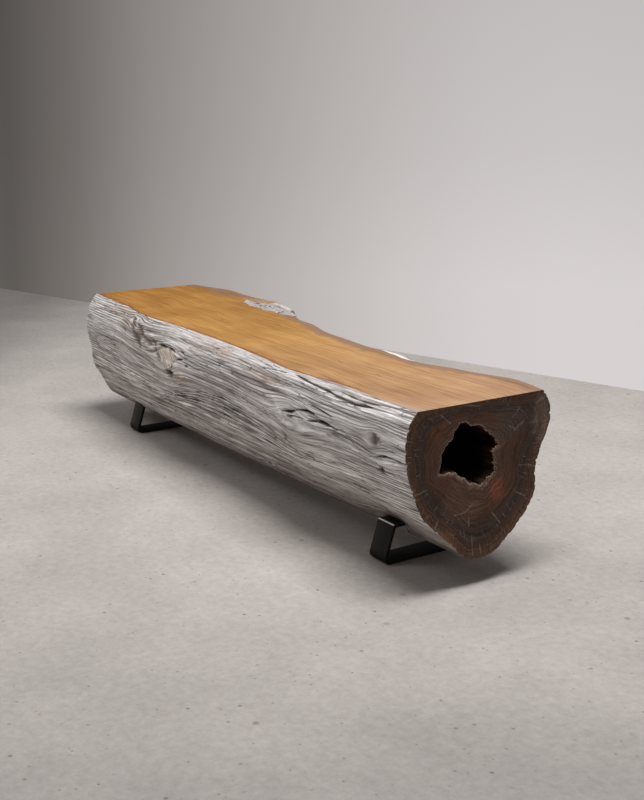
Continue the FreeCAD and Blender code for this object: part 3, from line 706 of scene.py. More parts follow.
def weatherSide(side):
    # how far wind and rain have eaten the side in, and the masks that its finish uses, with the painted shade for
    # its cracks among them
    x = np.repeat(side["x"][:, None], side["down"].shape[1], axis=1)
    down = side["down"]
    along, across = grainFlow(side)
    relief = ripples(along, across, weather["waves"]) - furrowPress(side)
    # cracks gathers painted shade: the cracks, gashes, grooves and knot eyes get a dark colour as well as depth
    cracks, brown = np.zeros(x.shape), np.zeros(x.shape)
    for stretch, lines, seed, width, rare, depth in weather["cracks"]:
        wave = np.abs(ripple(along * stretch, across * lines, seed))
        patch = ripple(along * stretch * 0.9 + 7, across * lines * 0.33, seed + 30)
        line = np.clip(1 - wave / width, 0, 1) * np.clip((patch - rare) * 3, 0, 1)
        relief = relief - depth * line
        cracks = np.maximum(cracks, line * depth / weather["shadeDepth"])
    nick = np.clip(1 - np.abs(ripple(x * 5, down * 21, 44)) / 0.12, 0, 1)
    nick = nick * np.exp(-((logForm["halfLength"] - x) / weather["nickReach"]) ** 2)
    relief = relief - weather["nickDepth"] * nick
    for points, width, depth, tint in weather["gashes"]:
        mask = gashMask(x, down, side, points, width)
        relief = relief - depth * mask ** 0.8
        cracks = np.maximum(cracks, np.clip(mask * 1.3, 0, 1) * (1 - 0.75 * tint))
        brown = np.maximum(brown, mask * tint)
    for share in weather["grooveShares"]:
        points = [(a + (c - a) * share, b + (d - b) * share)
                  for (a, b), (c, d) in zip(*weather["grooveGuides"])]
        mask = gashMask(x, down, side, points, weather["grooveWidth"])
        relief = relief - weather["grooveDepth"] * mask
        cracks = np.maximum(cracks, weather["grooveShade"] * mask)
    for points, width, rise in weather["shoulders"]:
        mask = gashMask(x, down, side, points, width)
        relief = relief + rise * mask ** 2 * (3 - 2 * mask)
    for place, height, reach, swirl, depth in weather["knots"]:
        middle = frontDepth(side, place, height)
        far = np.hypot((x - place) / 1.3, down - middle) / reach
        relief = relief + weather["knotRing"] * np.exp(-((far - 1.35) / 0.35) ** 2)
        relief = relief - depth * np.exp(-(far / 0.45) ** 2)
        cracks = np.maximum(cracks, weather["knotEyeShade"] * np.exp(-(far / 0.40) ** 2) * (depth > 0))
    scar, stub = logForm["scar"], logForm["stub"]
    far = np.hypot((x - scar["place"][0]) / scar["reach"][0],
                   (down - frontDepth(side, *scar["place"])) / scar["reach"][1])
    relief = relief - scar["depth"] * np.clip(1 - far ** 2, 0, 1)
    lumps = [(*stub["place"], *stub["reach"], stub["lean"], stub["rise"], 1.0)] + weather["lumps"]
    for place, height, reach, reachAcross, lean, rise, tint in lumps:
        middle = frontDepth(side, place, height)
        c, d = math.cos(math.radians(lean)), math.sin(math.radians(lean))
        du, dv = x - place, down - middle
        a, b = (du * c + dv * d) / reach, (dv * c - du * d) / reachAcross
        far = np.hypot(a, b)
        torn = 0.30 + 0.7 * np.abs(ripple(b * 2.2 + 0.25 * a, a * 1.1, 19)) + 0.25 * ripple(b * 6, a * 2, 20)
        relief = relief - 0.25 * rise * np.exp(-((far - 1.15) / 0.30) ** 2)
        relief = relief + rise * torn * np.exp(-(far / 0.85) ** 4)
        brown = np.maximum(brown, tint * np.exp(-(far / 0.95) ** 4) * (0.55 + 0.45 * torn))
    for place, height, reach, reachDown in weather["tanPatches"]:
        middle = frontDepth(side, place, height)
        spot = np.exp(-((x - place) / reach) ** 2 - ((down - middle) / reachDown) ** 2)
        brown = np.maximum(brown, spot * (0.55 + 0.45 * ripple(along * 8, across * 60, 23)))
    return np.clip(relief, *weather["limits"]), along, across, np.clip(cracks, 0, 1), np.clip(brown, 0, 1)


hollowForm = {
    "middle": (-0.079, 0.325), "depth": 0.40, "taper": 0.42, "lift": 0.008,
    "bulge": 0.05, "undercut": 0.003, "lipWidth": 0.0030,
    # torn edge of the rim: ripples round it, then its teeth and how deep they cut
    "rags": ((6, 1, 31, 0.0030), (19, 1, 32, 0.0016)),
    "teeth": 11, "toothDepth": 0.0015, "rightDepth": 0.0075,
    # knocks on the inside, as ripples round it and inward
    "knocks": ((3, 9, 41, 0.004), (9, 20, 42, 0.002)),
    # the mouth's ragged rim, y and z round it
    "rim": [(-0.096, 0.402), (-0.075, 0.388), (-0.055, 0.391), (-0.029, 0.369), (-0.003, 0.348),
            (0.004, 0.333), (-0.010, 0.322), (-0.005, 0.301), (-0.003, 0.271), (-0.024, 0.257),
            (-0.044, 0.246), (-0.070, 0.254), (-0.095, 0.270), (-0.121, 0.288), (-0.137, 0.291),
            (-0.151, 0.287), (-0.165, 0.292), (-0.163, 0.309), (-0.158, 0.330), (-0.151, 0.352),
            (-0.131, 0.365), (-0.120, 0.386), (-0.112, 0.398)],
}


def rimReach(turn):
    # distance from the hollow's middle to its rim, with torn fibres on the right and below
    middle = hollowForm["middle"]
    points = np.array(hollowForm["rim"]) - middle
    turns = np.arctan2(points[:, 1], points[:, 0])
    order = np.argsort(turns)
    reach = np.interp(turn, turns[order], np.hypot(*points.T)[order], period=2 * np.pi)
    level = turn * 0
    rag = ripples(turn, level + 0.5, hollowForm["rags"])
    right = np.exp(-((np.angle(np.exp(1j * (turn + 0.15)))) / 0.75) ** 4)
    saw = np.abs(((turn * hollowForm["teeth"] + 0.5 * ripple(turn * 4, level, 34)) % 1) - 0.5) * 2
    cut = hollowForm["toothDepth"] + hollowForm["rightDepth"] * right
    return reach + rag - cut * saw * (0.6 + 0.5 * ripple(turn * 9, level, 33))


def logRows():
    # every row of the log's skin: hollow, near end, side and seat, far end
    half = logForm["halfLength"]
    table = np.array([share[0] for share in logForm["edges"]])
    ys, zs = logCorners(table)
    middleY, middleZ = ys[len(table) // 2], zs[len(table) // 2]
    steps = np.hypot(np.roll(middleY, -1) - middleY, np.roll(middleZ, -1) - middleZ)
    knots = np.concatenate([[0], np.cumsum(steps)]) / steps.sum()
    backEdge = knots[len(logForm["frontSide"]) + len(logForm["backSide"]) - 1]

    def stationWeight(v):
        return sum((more * np.exp(-((v - place) / reach) ** 2)
                    for place, reach, more in logForm["stationFocus"]), 1)

    x = spacedBy(stationWeight, -half, half, logForm["stations"])[::-1]
    # columns lie closer together on the front and furthest apart under the log
    places = spacedBy(lambda v: np.where(v < 0.40, 1.5, 1.0) - 0.4 * np.exp(-((v - 0.5) / 0.06) ** 2),
                      0, backEdge, logForm["sideColumns"])
    cornerY, cornerZ = logCorners(x / half)
    y = roundSpline(cornerY, knots, places)
    z = roundSpline(cornerZ, knots, places)
    lengths = np.cumsum(np.hypot(np.diff(y), np.diff(z)), axis=1)
    down = np.concatenate([np.zeros((len(x), 1)), lengths], axis=1)
    side = {"x": x, "z": z, "down": down, "places": places}
    relief, along, across, cracks, brown = weatherSide(side)
    high = np.clip(0.5 + relief / weather["highSpan"], 0, 1)
    ty, tz = np.gradient(y, axis=1), np.gradient(z, axis=1)
    size = np.hypot(ty, tz)
    y = np.clip(y + tz / size * relief, *logForm["sideLimits"])
    z = np.minimum(z - ty / size * relief, logForm["seat"] - logForm["seatMargin"])
    z[:, 0] = z[:, -1] = logForm["seat"]
    z = np.maximum(z, logForm["belly"] + logForm["bellyMargin"])

    shares = np.array(logForm["seatShares"])
    seatY = y[:, -1:] + (y[:, :1] - y[:, -1:]) * shares
    seatZ = np.full_like(seatY, logForm["seat"])
    mantleY = np.concatenate([y, seatY, y[:, :1]], axis=1)
    mantleZ = np.concatenate([z, seatZ, z[:, :1]], axis=1)
    width = mantleY.shape[1]
    seatWidth = np.abs(y[:, -1:] - y[:, :1])

    def overSeat(block, value=0.0):
        # the side's values, then one for the seat's columns
        return np.concatenate([block, np.zeros_like(seatY) + value, block[:, :1]], axis=1)

    plain = {"crackShade": 0.0, "brown": 0.0, "high": 0.5, "rim": 0.0, "frontGap": 0.0, "backGap": 0.0}
    rows = {key: [] for key in ("zone", "x", "y", "z", "u", "v", *plain)}

    def addRow(zone, x, y, z, u, v, **masks):
        rows["zone"].append(zone)
        for key, value in {"x": x, "y": y, "z": z, "u": u, "v": v, **plain, **masks}.items():
            rows[key].append(np.broadcast_to(np.asarray(value, float), (width,)))

    # outline of the near end and the hollow's rim, column by column
    endY, endZ = mantleY[0], mantleZ[0]
    middle = hollowForm["middle"]
    turn = np.unwrap(np.arctan2(endZ - middle[1], endY - middle[0]))
    reach = rimReach(turn)
    rimY, rimZ = middle[0] + reach * np.cos(turn), middle[1] + reach * np.sin(turn)
    count = logForm["hollowRings"]
    for k in range(count):
        t = 1 - k / count
        deep = t ** 1.5
        share = (1 - hollowForm["taper"] * t) + hollowForm["bulge"] * (1 - t) * np.sin(np.pi * t)
        knock = ripples(turn, deep + turn * 0, hollowForm["knocks"])
        wide = reach * share + knock * np.clip(t * 6, 0, 1) + hollowForm["undercut"] * np.clip(t * 12, 0, 1)
        addRow("hollow", half - hollowForm["depth"] * deep, middle[0] + wide * np.cos(turn),
               middle[1] + hollowForm["lift"] * deep + wide * np.sin(turn),
               turn * 0.08, deep * hollowForm["depth"])
    count = logForm["endRings"]
    span = np.hypot(endY - rimY, endZ - rimZ)
    for k in range(count):
        t = (k / count) ** 1.15
        gap = t * span
        sunk = logForm["rimSunk"][0] * np.exp(-(gap / logForm["rimSunk"][1]) ** 1.5)
        sunk = sunk + logForm["sawMarks"] * (1 + ripple(turn * 4, gap * 40, 51))
        wearAndHighlight = logForm["edgeWorn"][0] * np.exp(-(span - gap) / logForm["edgeWorn"][1])
        addRow("end", half - sunk - wearAndHighlight - logForm["endMargin"], rimY + (endY - rimY) * t,
               rimZ + (endZ - rimZ) * t, turn, t, rim=np.exp(-gap / hollowForm["lipWidth"]))
    mantle = {
        "u": overSeat(along), "v": overSeat(across), "crackShade": overSeat(cracks), "brown": overSeat(brown),
        "high": overSeat(high, 0.5), "frontGap": overSeat(0 * y, (1 - shares) * seatWidth),
        "backGap": overSeat(0 * y, shares * seatWidth)}
    for k in range(len(x)):
        addRow("side", x[k], mantleY[k], mantleZ[k], **{key: block[k] for key, block in mantle.items()})
    pithY, pithZ = logForm["farPith"]
    count = logForm["farRings"]
    turn = np.unwrap(np.arctan2(mantleZ[-1] - pithZ, mantleY[-1] - pithY))
    for k in range(1, count + 1):
        t = 1 - 0.97 * (k / count)
        addRow("far", -half + logForm["endMargin"], pithY + (mantleY[-1] - pithY) * t,
               pithZ + (mantleZ[-1] - pithZ) * t, turn, t)
    return {key: np.array(values) for key, values in rows.items()}, y.shape[1]


def makeLog():
    rows, sideCount = logRows()
    down, wide = rows["x"].shape
    deselectAll()
    bpy.ops.mesh.primitive_grid_add(x_subdivisions=down - 1, y_subdivisions=wide - 1, size=2)
    log = bpy.context.object
    log.name = "teakLog"
    mesh = log.data
    grid = vertexPlaces(mesh)
    row = np.rint((grid[:, 0] + 1) / 2 * (down - 1)).astype(int)
    column = np.rint((grid[:, 1] + 1) / 2 * (wide - 1)).astype(int)
    place = np.stack([rows[key][row, column] for key in "xyz"], axis=1)
    mesh.vertices.foreach_set("co", place.ravel())
    for name in ("crackShade", "brown", "high", "rim", "frontGap", "backGap"):
        storeValue(mesh, name, rows[name][row, column])

    # each face takes the map of its own zone, so the end's rings stop at the arris
    corners = np.zeros(len(mesh.loops), dtype=int)
    mesh.loops.foreach_get("vertex_index", corners)
    faceRow = row[corners].reshape(-1, 4).min(axis=1)
    faceColumn = column[corners].reshape(-1, 4).min(axis=1)
    lastHollow, lastEnd, lastSide = (
        np.flatnonzero(rows["zone"] == name)[-1] for name in ("hollow", "end", "side"))
    u, v = rows["u"][row, column][corners], rows["v"][row, column][corners]
    loopRow, loopColumn = np.repeat(faceRow, 4), np.repeat(faceColumn, 4)
    seam = (loopRow == lastEnd) & (row[corners] == lastEnd + 1)
    u = np.where(seam, rows["u"][lastEnd, column[corners]], u)
    v = np.where(seam, 1.0, v)
    onSeat = (loopColumn >= sideCount - 1) & (loopRow > lastEnd) & (loopRow < lastSide)
    u = np.where(onSeat, place[corners, 0], u)
    v = np.where(onSeat, place[corners, 1], v)
    if not mesh.uv_layers:
        mesh.uv_layers.new(name="grain")
    mesh.uv_layers[0].name = "grain"
    mesh.uv_layers[0].data.foreach_set("uv", np.stack([u, v], axis=1).ravel())
    # finishes in the order of the log's materials: side, seat, end, hollow
    finish = np.where(faceColumn >= sideCount - 1, 1, 0)
    finish[(faceRow <= lastEnd) | (faceRow >= lastSide)] = 2
    finish[faceRow <= lastHollow] = 3
    mesh.polygons.foreach_set("material_index", finish.astype(np.int32))
    mesh.update()

    # close the seam under the front edge, the hollow's bottom and the far end's pith
    bpy.ops.object.mode_set(mode="EDIT")
    bpy.ops.mesh.select_mode(type="VERT")
    bpy.ops.mesh.select_all(action="SELECT")
    bpy.ops.mesh.remove_doubles(threshold=0.00002)
    bpy.ops.mesh.select_all(action="DESELECT")
    bpy.ops.mesh.select_non_manifold()
    bpy.ops.mesh.fill_holes(sides=0)
    bpy.ops.mesh.select_all(action="SELECT")
    bpy.ops.mesh.normals_make_consistent(inside=False)
    bpy.ops.object.mode_set(mode="OBJECT")
    return log


log = makeLog()
print("log skin:", len(log.data.polygons), "faces")


scoopForm = {
    "middle": (-0.362, 0.2105, 0.4847), "reach": (0.278, 0.0930, 0.0567), "square": 3.0,
    # wavy grain lines left in it, as ripples along and across, then along and up
    "lines": ((13, 40, 61, 0.008), (34, 150, 62, 0.0025)), "steps": ((12, 160, 63, 0.0015),),
    "shrink": 0.004,
    "slotHalf": (0.034, 0.215), "slotTop": 0.101,
}


def cutFrom(piece, cutter):
    makeActive(piece)
    change = piece.modifiers.new("cut", "BOOLEAN")
    change.object = cutter
    change.operation = "DIFFERENCE"
    change.solver = "EXACT"
    change.material_mode = "TRANSFER"
    bpy.ops.object.modifier_apply(modifier=change.name)
    bpy.data.objects.remove(cutter, do_unlink=True)


def makeScoopCutter(finish):
    # the weathered hollow behind the seat's far half, with wavy grain lines
    deselectAll()
    bpy.ops.mesh.primitive_uv_sphere_add(segments=160, ring_count=64, radius=1)
    cutter = bpy.context.object
    cutter.scale = scoopForm["reach"]
    cutter.location = scoopForm["middle"]
    applyPlace(cutter)
    mesh = cutter.data
    place = vertexPlaces(mesh)
    middle = np.array(scoopForm["middle"])
    away = (place - middle) / np.linalg.norm(place - middle, axis=1)[:, None]
    # straighter along the seat, with fuller corners towards the hollow end
    flat = (place - middle) / np.array(scoopForm["reach"])
    turn = np.arctan2(flat[:, 1], flat[:, 0])
    power = scoopForm["square"]
    fuller = (np.abs(np.cos(turn)) ** power + np.abs(np.sin(turn)) ** power) ** (-1 / power)
    fuller = 1 + (fuller - 1) * np.clip(0.6 + 0.8 * flat[:, 0], 0, 1)
    place[:, :2] = middle[:2] + (place[:, :2] - middle[:2]) * fuller[:, None]
    px, py, pz = place.T
    wave = ripples(px, py, scoopForm["lines"]) + ripples(px, pz, scoopForm["steps"])
    place = place - away * (wave + scoopForm["shrink"])[:, None]
    mesh.vertices.foreach_set("co", place.ravel())
    mesh.materials.append(finish)
    mesh.update()
    return cutter


def makeSlotCutter(x, finish):
    deselectAll()
    bpy.ops.mesh.primitive_cube_add(size=1)
    cutter = bpy.context.object
    half = scoopForm["slotHalf"]
    cutter.scale = (half[0] * 2, half[1] * 2, 0.1)
    cutter.location = (x, logForm["legLine"], scoopForm["slotTop"] - 0.05)
    applyPlace(cutter)
    cutter.data.materials.append(finish)
    return cutter


sideFinish = {
    "grain": {"Along": 3.0, "Across": 38.0, "Wander": 0.010}, "cloud": (7.0, 5.0, 0.6),
    # what the grey follows: the broad streaks, what stands out, and slow clouds
    "shares": (0.42, 0.33, 0.25),
    "greys": [(0.34, (0.470, 0.430, 0.408)), (0.50, (0.790, 0.755, 0.740)), (0.68, (0.960, 0.945, 0.945))],
    "fine": [(0.30, (0.48, 0.45, 0.43)), (0.46, (0.96, 0.95, 0.945)), (0.70, 1.24)],
    "hair": [(0.32, (0.66, 0.64, 0.62)), (0.55, 1.06)],
    # stronger streaks below a height, over a distance
    "strongBelow": (0.33, 0.10), "strong": [(0.38, (0.52, 0.49, 0.47)), (0.50, 1.14), (0.62, 1.42)],
    # painted shade: the belly colour darkens the side below a height, and the under colour darkens its lowest part
    # further
    "bellyShadeBelow": (0.22, 0.13), "belly": (0.300, 0.255, 0.220),
    "underShadeBelow": (0.112, 0.04), "underShade": (0.43, 0.395, 0.37),
    "rib": (0.33, 0.30, 0.285), "brown": (0.400, 0.250, 0.150),
    "split": (0.085, 0.067, 0.057), "creviceShade": (0.022, 0.016, 0.012),
    # how much of each layer shows, and how much of the streaks shows through the brown stain and the painted belly
    # shade
    "amounts": {"fine": 0.85, "strong": 0.65, "hair": 0.6, "brown": 0.85, "belly": 0.65, "split": 0.9},
    "brownStreaks": 0.7, "bellyShadeStreaks": 0.8,
    "rough": [(0.3, 0.95), (0.7, 0.74)], "specular": 0.22, "bump": (1.0, 0.0032),
    "heights": {"Fine": 1.1, "Hair": 0.35, "Split": -0.55, "Rib": -0.45},
}


def makeSideWood():
    material, tree = startMaterial("weatheredSide")
    fibres = addGroup(tree, fibreGroup, {"Map": grainMap(tree), **sideFinish["grain"]})
    place = objectPlace(tree)
    level = axesOf(tree, place)["Z"]
    crackShade, brown, high = (pointValue(tree, name) for name in ("crackShade", "brown", "high"))
    cloud = addNoise(tree, place, *sideFinish["cloud"])["Fac"]
    tone = addSum(tree, *zip((fibres["Broad"], high, cloud), sideFinish["shares"]))
    tone = addRamp(tree, tone, sideFinish["greys"])
    amounts = sideFinish["amounts"]
    fine = addRamp(tree, fibres["Fine"], sideFinish["fine"])
    tone = addMix(tree, amounts["fine"], tone, fine, "MULTIPLY")
    tone = addMix(tree, fibres["Rib"], tone, sideFinish["rib"], "MULTIPLY")
    strong = addMath(tree, "MULTIPLY", addBelow(tree, level, *sideFinish["strongBelow"]), amounts["strong"])
    tone = addTint(tree, tone, strong, fibres["Fine"], sideFinish["strong"])
    tone = addTint(tree, tone, amounts["hair"], fibres["Hair"], sideFinish["hair"])
    brown = addMath(tree, "MULTIPLY", brown, amounts["brown"])
    tone = addLaidColour(tree, tone, brown, sideFinish["brown"], fine, sideFinish["brownStreaks"])
    # painted shade: darker towards the belly, and darker still at the bottom
    low = addMath(tree, "MULTIPLY", addBelow(tree, level, *sideFinish["bellyShadeBelow"]), amounts["belly"])
    tone = addLaidColour(tree, tone, low, sideFinish["belly"], fine, sideFinish["bellyShadeStreaks"])
    underShade = addBelow(tree, level, *sideFinish["underShadeBelow"])
    tone = addMix(tree, underShade, tone, sideFinish["underShade"], "MULTIPLY")
    tone = addMix(tree, addMath(tree, "MULTIPLY", fibres["Split"], amounts["split"]), tone, sideFinish["split"])
    # painted shade in the cracks, gashes, grooves and knot eyes
    tone = addMix(tree, addMath(tree, "POWER", crackShade, 0.8), tone, sideFinish["creviceShade"])
    height = addSum(tree, *((fibres[name], weight) for name, weight in sideFinish["heights"].items()))
    rough = addRamp(tree, fibres["Fine"], sideFinish["rough"])
    return finishMaterial(material, sideFinish, tone, height, rough)


seatFinish = {
    "grain": {"Along": 1.5, "Across": 24.0, "Wander": 0.045},
    "browns": [(0.30, (0.265, 0.112, 0.030)), (0.50, (0.455, 0.232, 0.068)), (0.70, (0.600, 0.375, 0.145))],
    # colour along the seat, from the far end to the hollow end
    "lengthTones": [(0.0, (0.355, 0.142, 0.006)), (0.5, (0.515, 0.285, 0.085)), (1.0, (0.475, 0.315, 0.240))],
    "lengthScale": 0.5, "lengthShare": 0.60,
    "fine": [(0.30, (0.72, 0.64, 0.55)), (0.46, (0.97, 0.96, 0.95)), (0.72, (1.09, 1.10, 1.12))],
    "hair": [(0.34, (0.68, 0.58, 0.48)), (0.50, 1.03)],
    "cloud": (6.0, 4.0), "cloudTones": [(0.36, (0.84, 0.78, 0.68)), (0.62, (1.10, 1.10, 1.08))],
    "patch": (16.0, 5.0, 0.65),
    # darker bands along the edges: least width, more width where the patches lie, weight, colour
    "bands": {"frontGap": (0.006, 0.050, 0.80, (0.250, 0.095, 0.035)),
              "backGap": (0.034, 0.110, 0.85, (0.285, 0.172, 0.112))},
    # sapwood that widens along the front edge towards the hollow end
    "sapwood": {"start": 0.60, "slope": 0.080, "sway": 0.03, "soft": 0.012, "colour": (0.460, 0.320, 0.240)},
    # the sliver of pale bark that shows behind the back edge
    "bark": {"middle": 0.455, "half": 0.085, "slope": 0.25, "widest": 0.014, "soft": 0.003,
             "colour": (0.860, 0.790, 0.760)},
    "swirl": {"middle": (-0.700, 0.205), "reach": (0.150, 0.060), "sway": -1.5, "gain": 1.3,
              "colour": (0.300, 0.170, 0.085)},
    "fleck": (0.210, 0.085, 0.025), "fleckWidth": 0.0035, "fleckWeight": 0.75,
    "flecks": [((-0.268, -0.047), (-0.248, -0.056)), ((-0.100, 0.050), (-0.084, 0.045)),
               ((0.425, -0.086), (0.452, -0.092)), ((0.602, -0.092), (0.628, -0.098)),
               ((-0.804, 0.128), (-0.786, 0.120)), ((-0.775, 0.016), (-0.735, 0.030)),
               ((-0.735, 0.030), (-0.680, 0.024)), ((-0.680, 0.024), (-0.585, 0.012)),
               ((-0.585, 0.012), (-0.490, 0.012)), ((-0.756, 0.206), (-0.640, 0.186)),
               ((-0.720, 0.226), (-0.627, 0.216)), ((-0.214, -0.060), (-0.194, -0.050))],
    "rough": [(0.3, 0.72), (0.7, 0.55)], "specular": 0.22, "bump": (0.22, 0.0015),
}


def makeSeatWood():
    material, tree = startMaterial("teakSeat")
    fibres = addGroup(tree, fibreGroup, {"Map": grainMap(tree), **seatFinish["grain"]})
    place = objectPlace(tree)
    along = axesOf(tree, place)["X"]
    tone = addRamp(tree, fibres["Broad"], seatFinish["browns"])
    even = addRamp(tree, addShare(tree, along, seatFinish["lengthScale"]), seatFinish["lengthTones"])
    tone = addMix(tree, seatFinish["lengthShare"], tone, even)
    fine = addRamp(tree, fibres["Fine"], seatFinish["fine"])
    tone = addMix(tree, 1.0, tone, fine, "MULTIPLY")
    tone = addTint(tree, tone, 0.8, fibres["Hair"], seatFinish["hair"])
    tone = addTint(tree, tone, 0.8, addNoise(tree, place, *seatFinish["cloud"])["Fac"], seatFinish["cloudTones"])
    patch = addNoise(tree, place, *seatFinish["patch"])["Fac"]
    for gap, (least, more, weight, colour) in seatFinish["bands"].items():
        wide = addMath(tree, "MULTIPLY", addMath(tree, "SUBTRACT", patch, 0.38, clamp=True), more)
        band = addNear(tree, pointValue(tree, gap), addMath(tree, "ADD", least, wide))
        band = addMath(tree, "MINIMUM", addMath(tree, "MULTIPLY", band, 2.0, clamp=True), weight)
        tone = addLaidColour(tree, tone, band, colour, fine, 0.8)
    form = seatFinish["sapwood"]
    wide = addMath(tree, "MULTIPLY", addMath(tree, "SUBTRACT", along, form["start"]), form["slope"])
    sap = addMath(tree, "SUBTRACT", wide, pointValue(tree, "frontGap"))
    sap = addMath(tree, "ADD", sap, addSway(tree, patch, form["sway"]))
    tone = addLaidColour(tree, tone, addMath(tree, "DIVIDE", sap, form["soft"], clamp=True), form["colour"], fine, 0.8)
    form = seatFinish["bark"]
    span = addMath(tree, "ABSOLUTE", addMath(tree, "SUBTRACT", along, form["middle"]))
    wide = addMath(tree, "MULTIPLY", addMath(tree, "SUBTRACT", form["half"], span), form["slope"])
    bark = addMath(tree, "SUBTRACT", addMath(tree, "MINIMUM", wide, form["widest"]), pointValue(tree, "backGap"))
    tone = addMix(tree, addMath(tree, "DIVIDE", bark, form["soft"], clamp=True), tone, form["colour"])
    form = seatFinish["swirl"]
    shrink = (1 / form["reach"][0], 1 / form["reach"][1], 1.0)
    swirl = addSpot(tree, place, (*form["middle"], logForm["seat"]), shrink,
                    addSway(tree, patch, form["sway"]), form["gain"])
    tone = addLaidColour(tree, tone, swirl, form["colour"], fine, 0.9)
    for start, end in seatFinish["flecks"]:
        mask = addGroup(tree, markGroup, {
            "Point": place, "Start": (*start, logForm["seat"]), "End": (*end, logForm["seat"]),
            "Width": seatFinish["fleckWidth"]})["Mask"]
        tone = addMix(tree, addMath(tree, "MULTIPLY", mask, seatFinish["fleckWeight"]), tone, seatFinish["fleck"])
    rough = addRamp(tree, fibres["Fine"], seatFinish["rough"])
    return finishMaterial(material, seatFinish, tone, fibres["Fine"], rough)


endFinish = {
    "cloud": (11.0, 6.0, 0.6), "grit": (320.0, 3.0),
    # colour from the hollow's rim out to the bark side
    "zones": [(0.00, (0.146, 0.092, 0.069)), (0.14, (0.114, 0.066, 0.048)), (0.40, (0.112, 0.060, 0.040)),
              (0.55, (0.080, 0.050, 0.038)), (0.72, (0.070, 0.050, 0.041)), (0.83, (0.100, 0.058, 0.040)),
              (1.00, (0.130, 0.080, 0.055))],
    "zoneSway": 0.22, "patchSway": 1.2, "patchGain": 2.2,
    "patches": [
        {"middle": (0.005, 0.226), "reach": (0.026, 0.036), "weight": 0.85, "colour": (0.240, 0.092, 0.050)},
        {"middle": (-0.095, 0.205), "reach": (0.075, 0.060), "weight": 0.65, "colour": (0.142, 0.086, 0.060)},
        {"middle": (-0.175, 0.390), "reach": (0.030, 0.030), "weight": 0.60, "colour": (0.160, 0.070, 0.040)},
        {"middle": (0.045, 0.385), "reach": (0.055, 0.045), "weight": 0.55, "colour": (0.105, 0.082, 0.076)},
        {"middle": (0.155, 0.375), "reach": (0.055, 0.075), "weight": 0.60, "colour": (0.205, 0.158, 0.130)},
        {"middle": (-0.165, 0.125), "reach": (0.060, 0.050), "weight": 0.55, "colour": (0.212, 0.118, 0.076)}],
    # yearly rings round the hollow, then rays that run out from it and show most near the edge
    "ringMap": (0.9, 24.0), "ring": (1.5, 4.0, 0.75),
    "ringTones": [(0.36, (0.46, 0.44, 0.43)), (0.5, 1.0), (0.64, (1.75, 1.70, 1.65))],
    "rayMap": (26.0, 3.0), "ray": (2.0, 4.0), "rayEdge": (0.78, 0.1),
    "rayTones": [(0.35, (0.74, 0.73, 0.73)), (0.5, 1.0), (0.66, (1.42, 1.40, 1.37))],
    "gritTones": [(0.3, (0.65, 0.63, 0.60)), (0.7, 1.35)],
    # start and end of each light check on the sawn end, in y and z
    "marks": [
        ((-0.167, 0.427), (-0.140, 0.405)), ((-0.105, 0.443), (-0.054, 0.433)), ((0.046, 0.392), (0.066, 0.414)),
        ((0.035, 0.374), (0.059, 0.360)), ((0.051, 0.361), (0.079, 0.378)), ((0.097, 0.369), (0.122, 0.383)),
        ((0.073, 0.273), (0.121, 0.263)), ((0.061, 0.210), (0.096, 0.192)), ((-0.007, 0.171), (0.018, 0.141)),
        ((-0.239, 0.254), (-0.203, 0.261)), ((-0.067, 0.204), (-0.090, 0.187)), ((-0.090, 0.187), (-0.120, 0.186)),
        ((-0.065, 0.112), (-0.062, 0.078)), ((-0.078, 0.170), (-0.077, 0.151))],
    "markWidth": 0.0027, "markWander": 0.006, "mark": (0.275, 0.222, 0.190),
    # short ticks between the marks, more of them near the edge
    "tickMap": (34.0, 5.0), "tickLeast": 0.628, "tickGain": 7.0, "tickFrom": 0.45, "tickRise": 3.0,
    # painted highlight along the hollow's lip
    "rim": (0.640, 0.520, 0.420), "rimHighlightLeast": 0.44, "rimHighlightGain": 6.0,
    "rough": 0.70, "specular": 0.10, "bump": (0.7, 0.003),
}


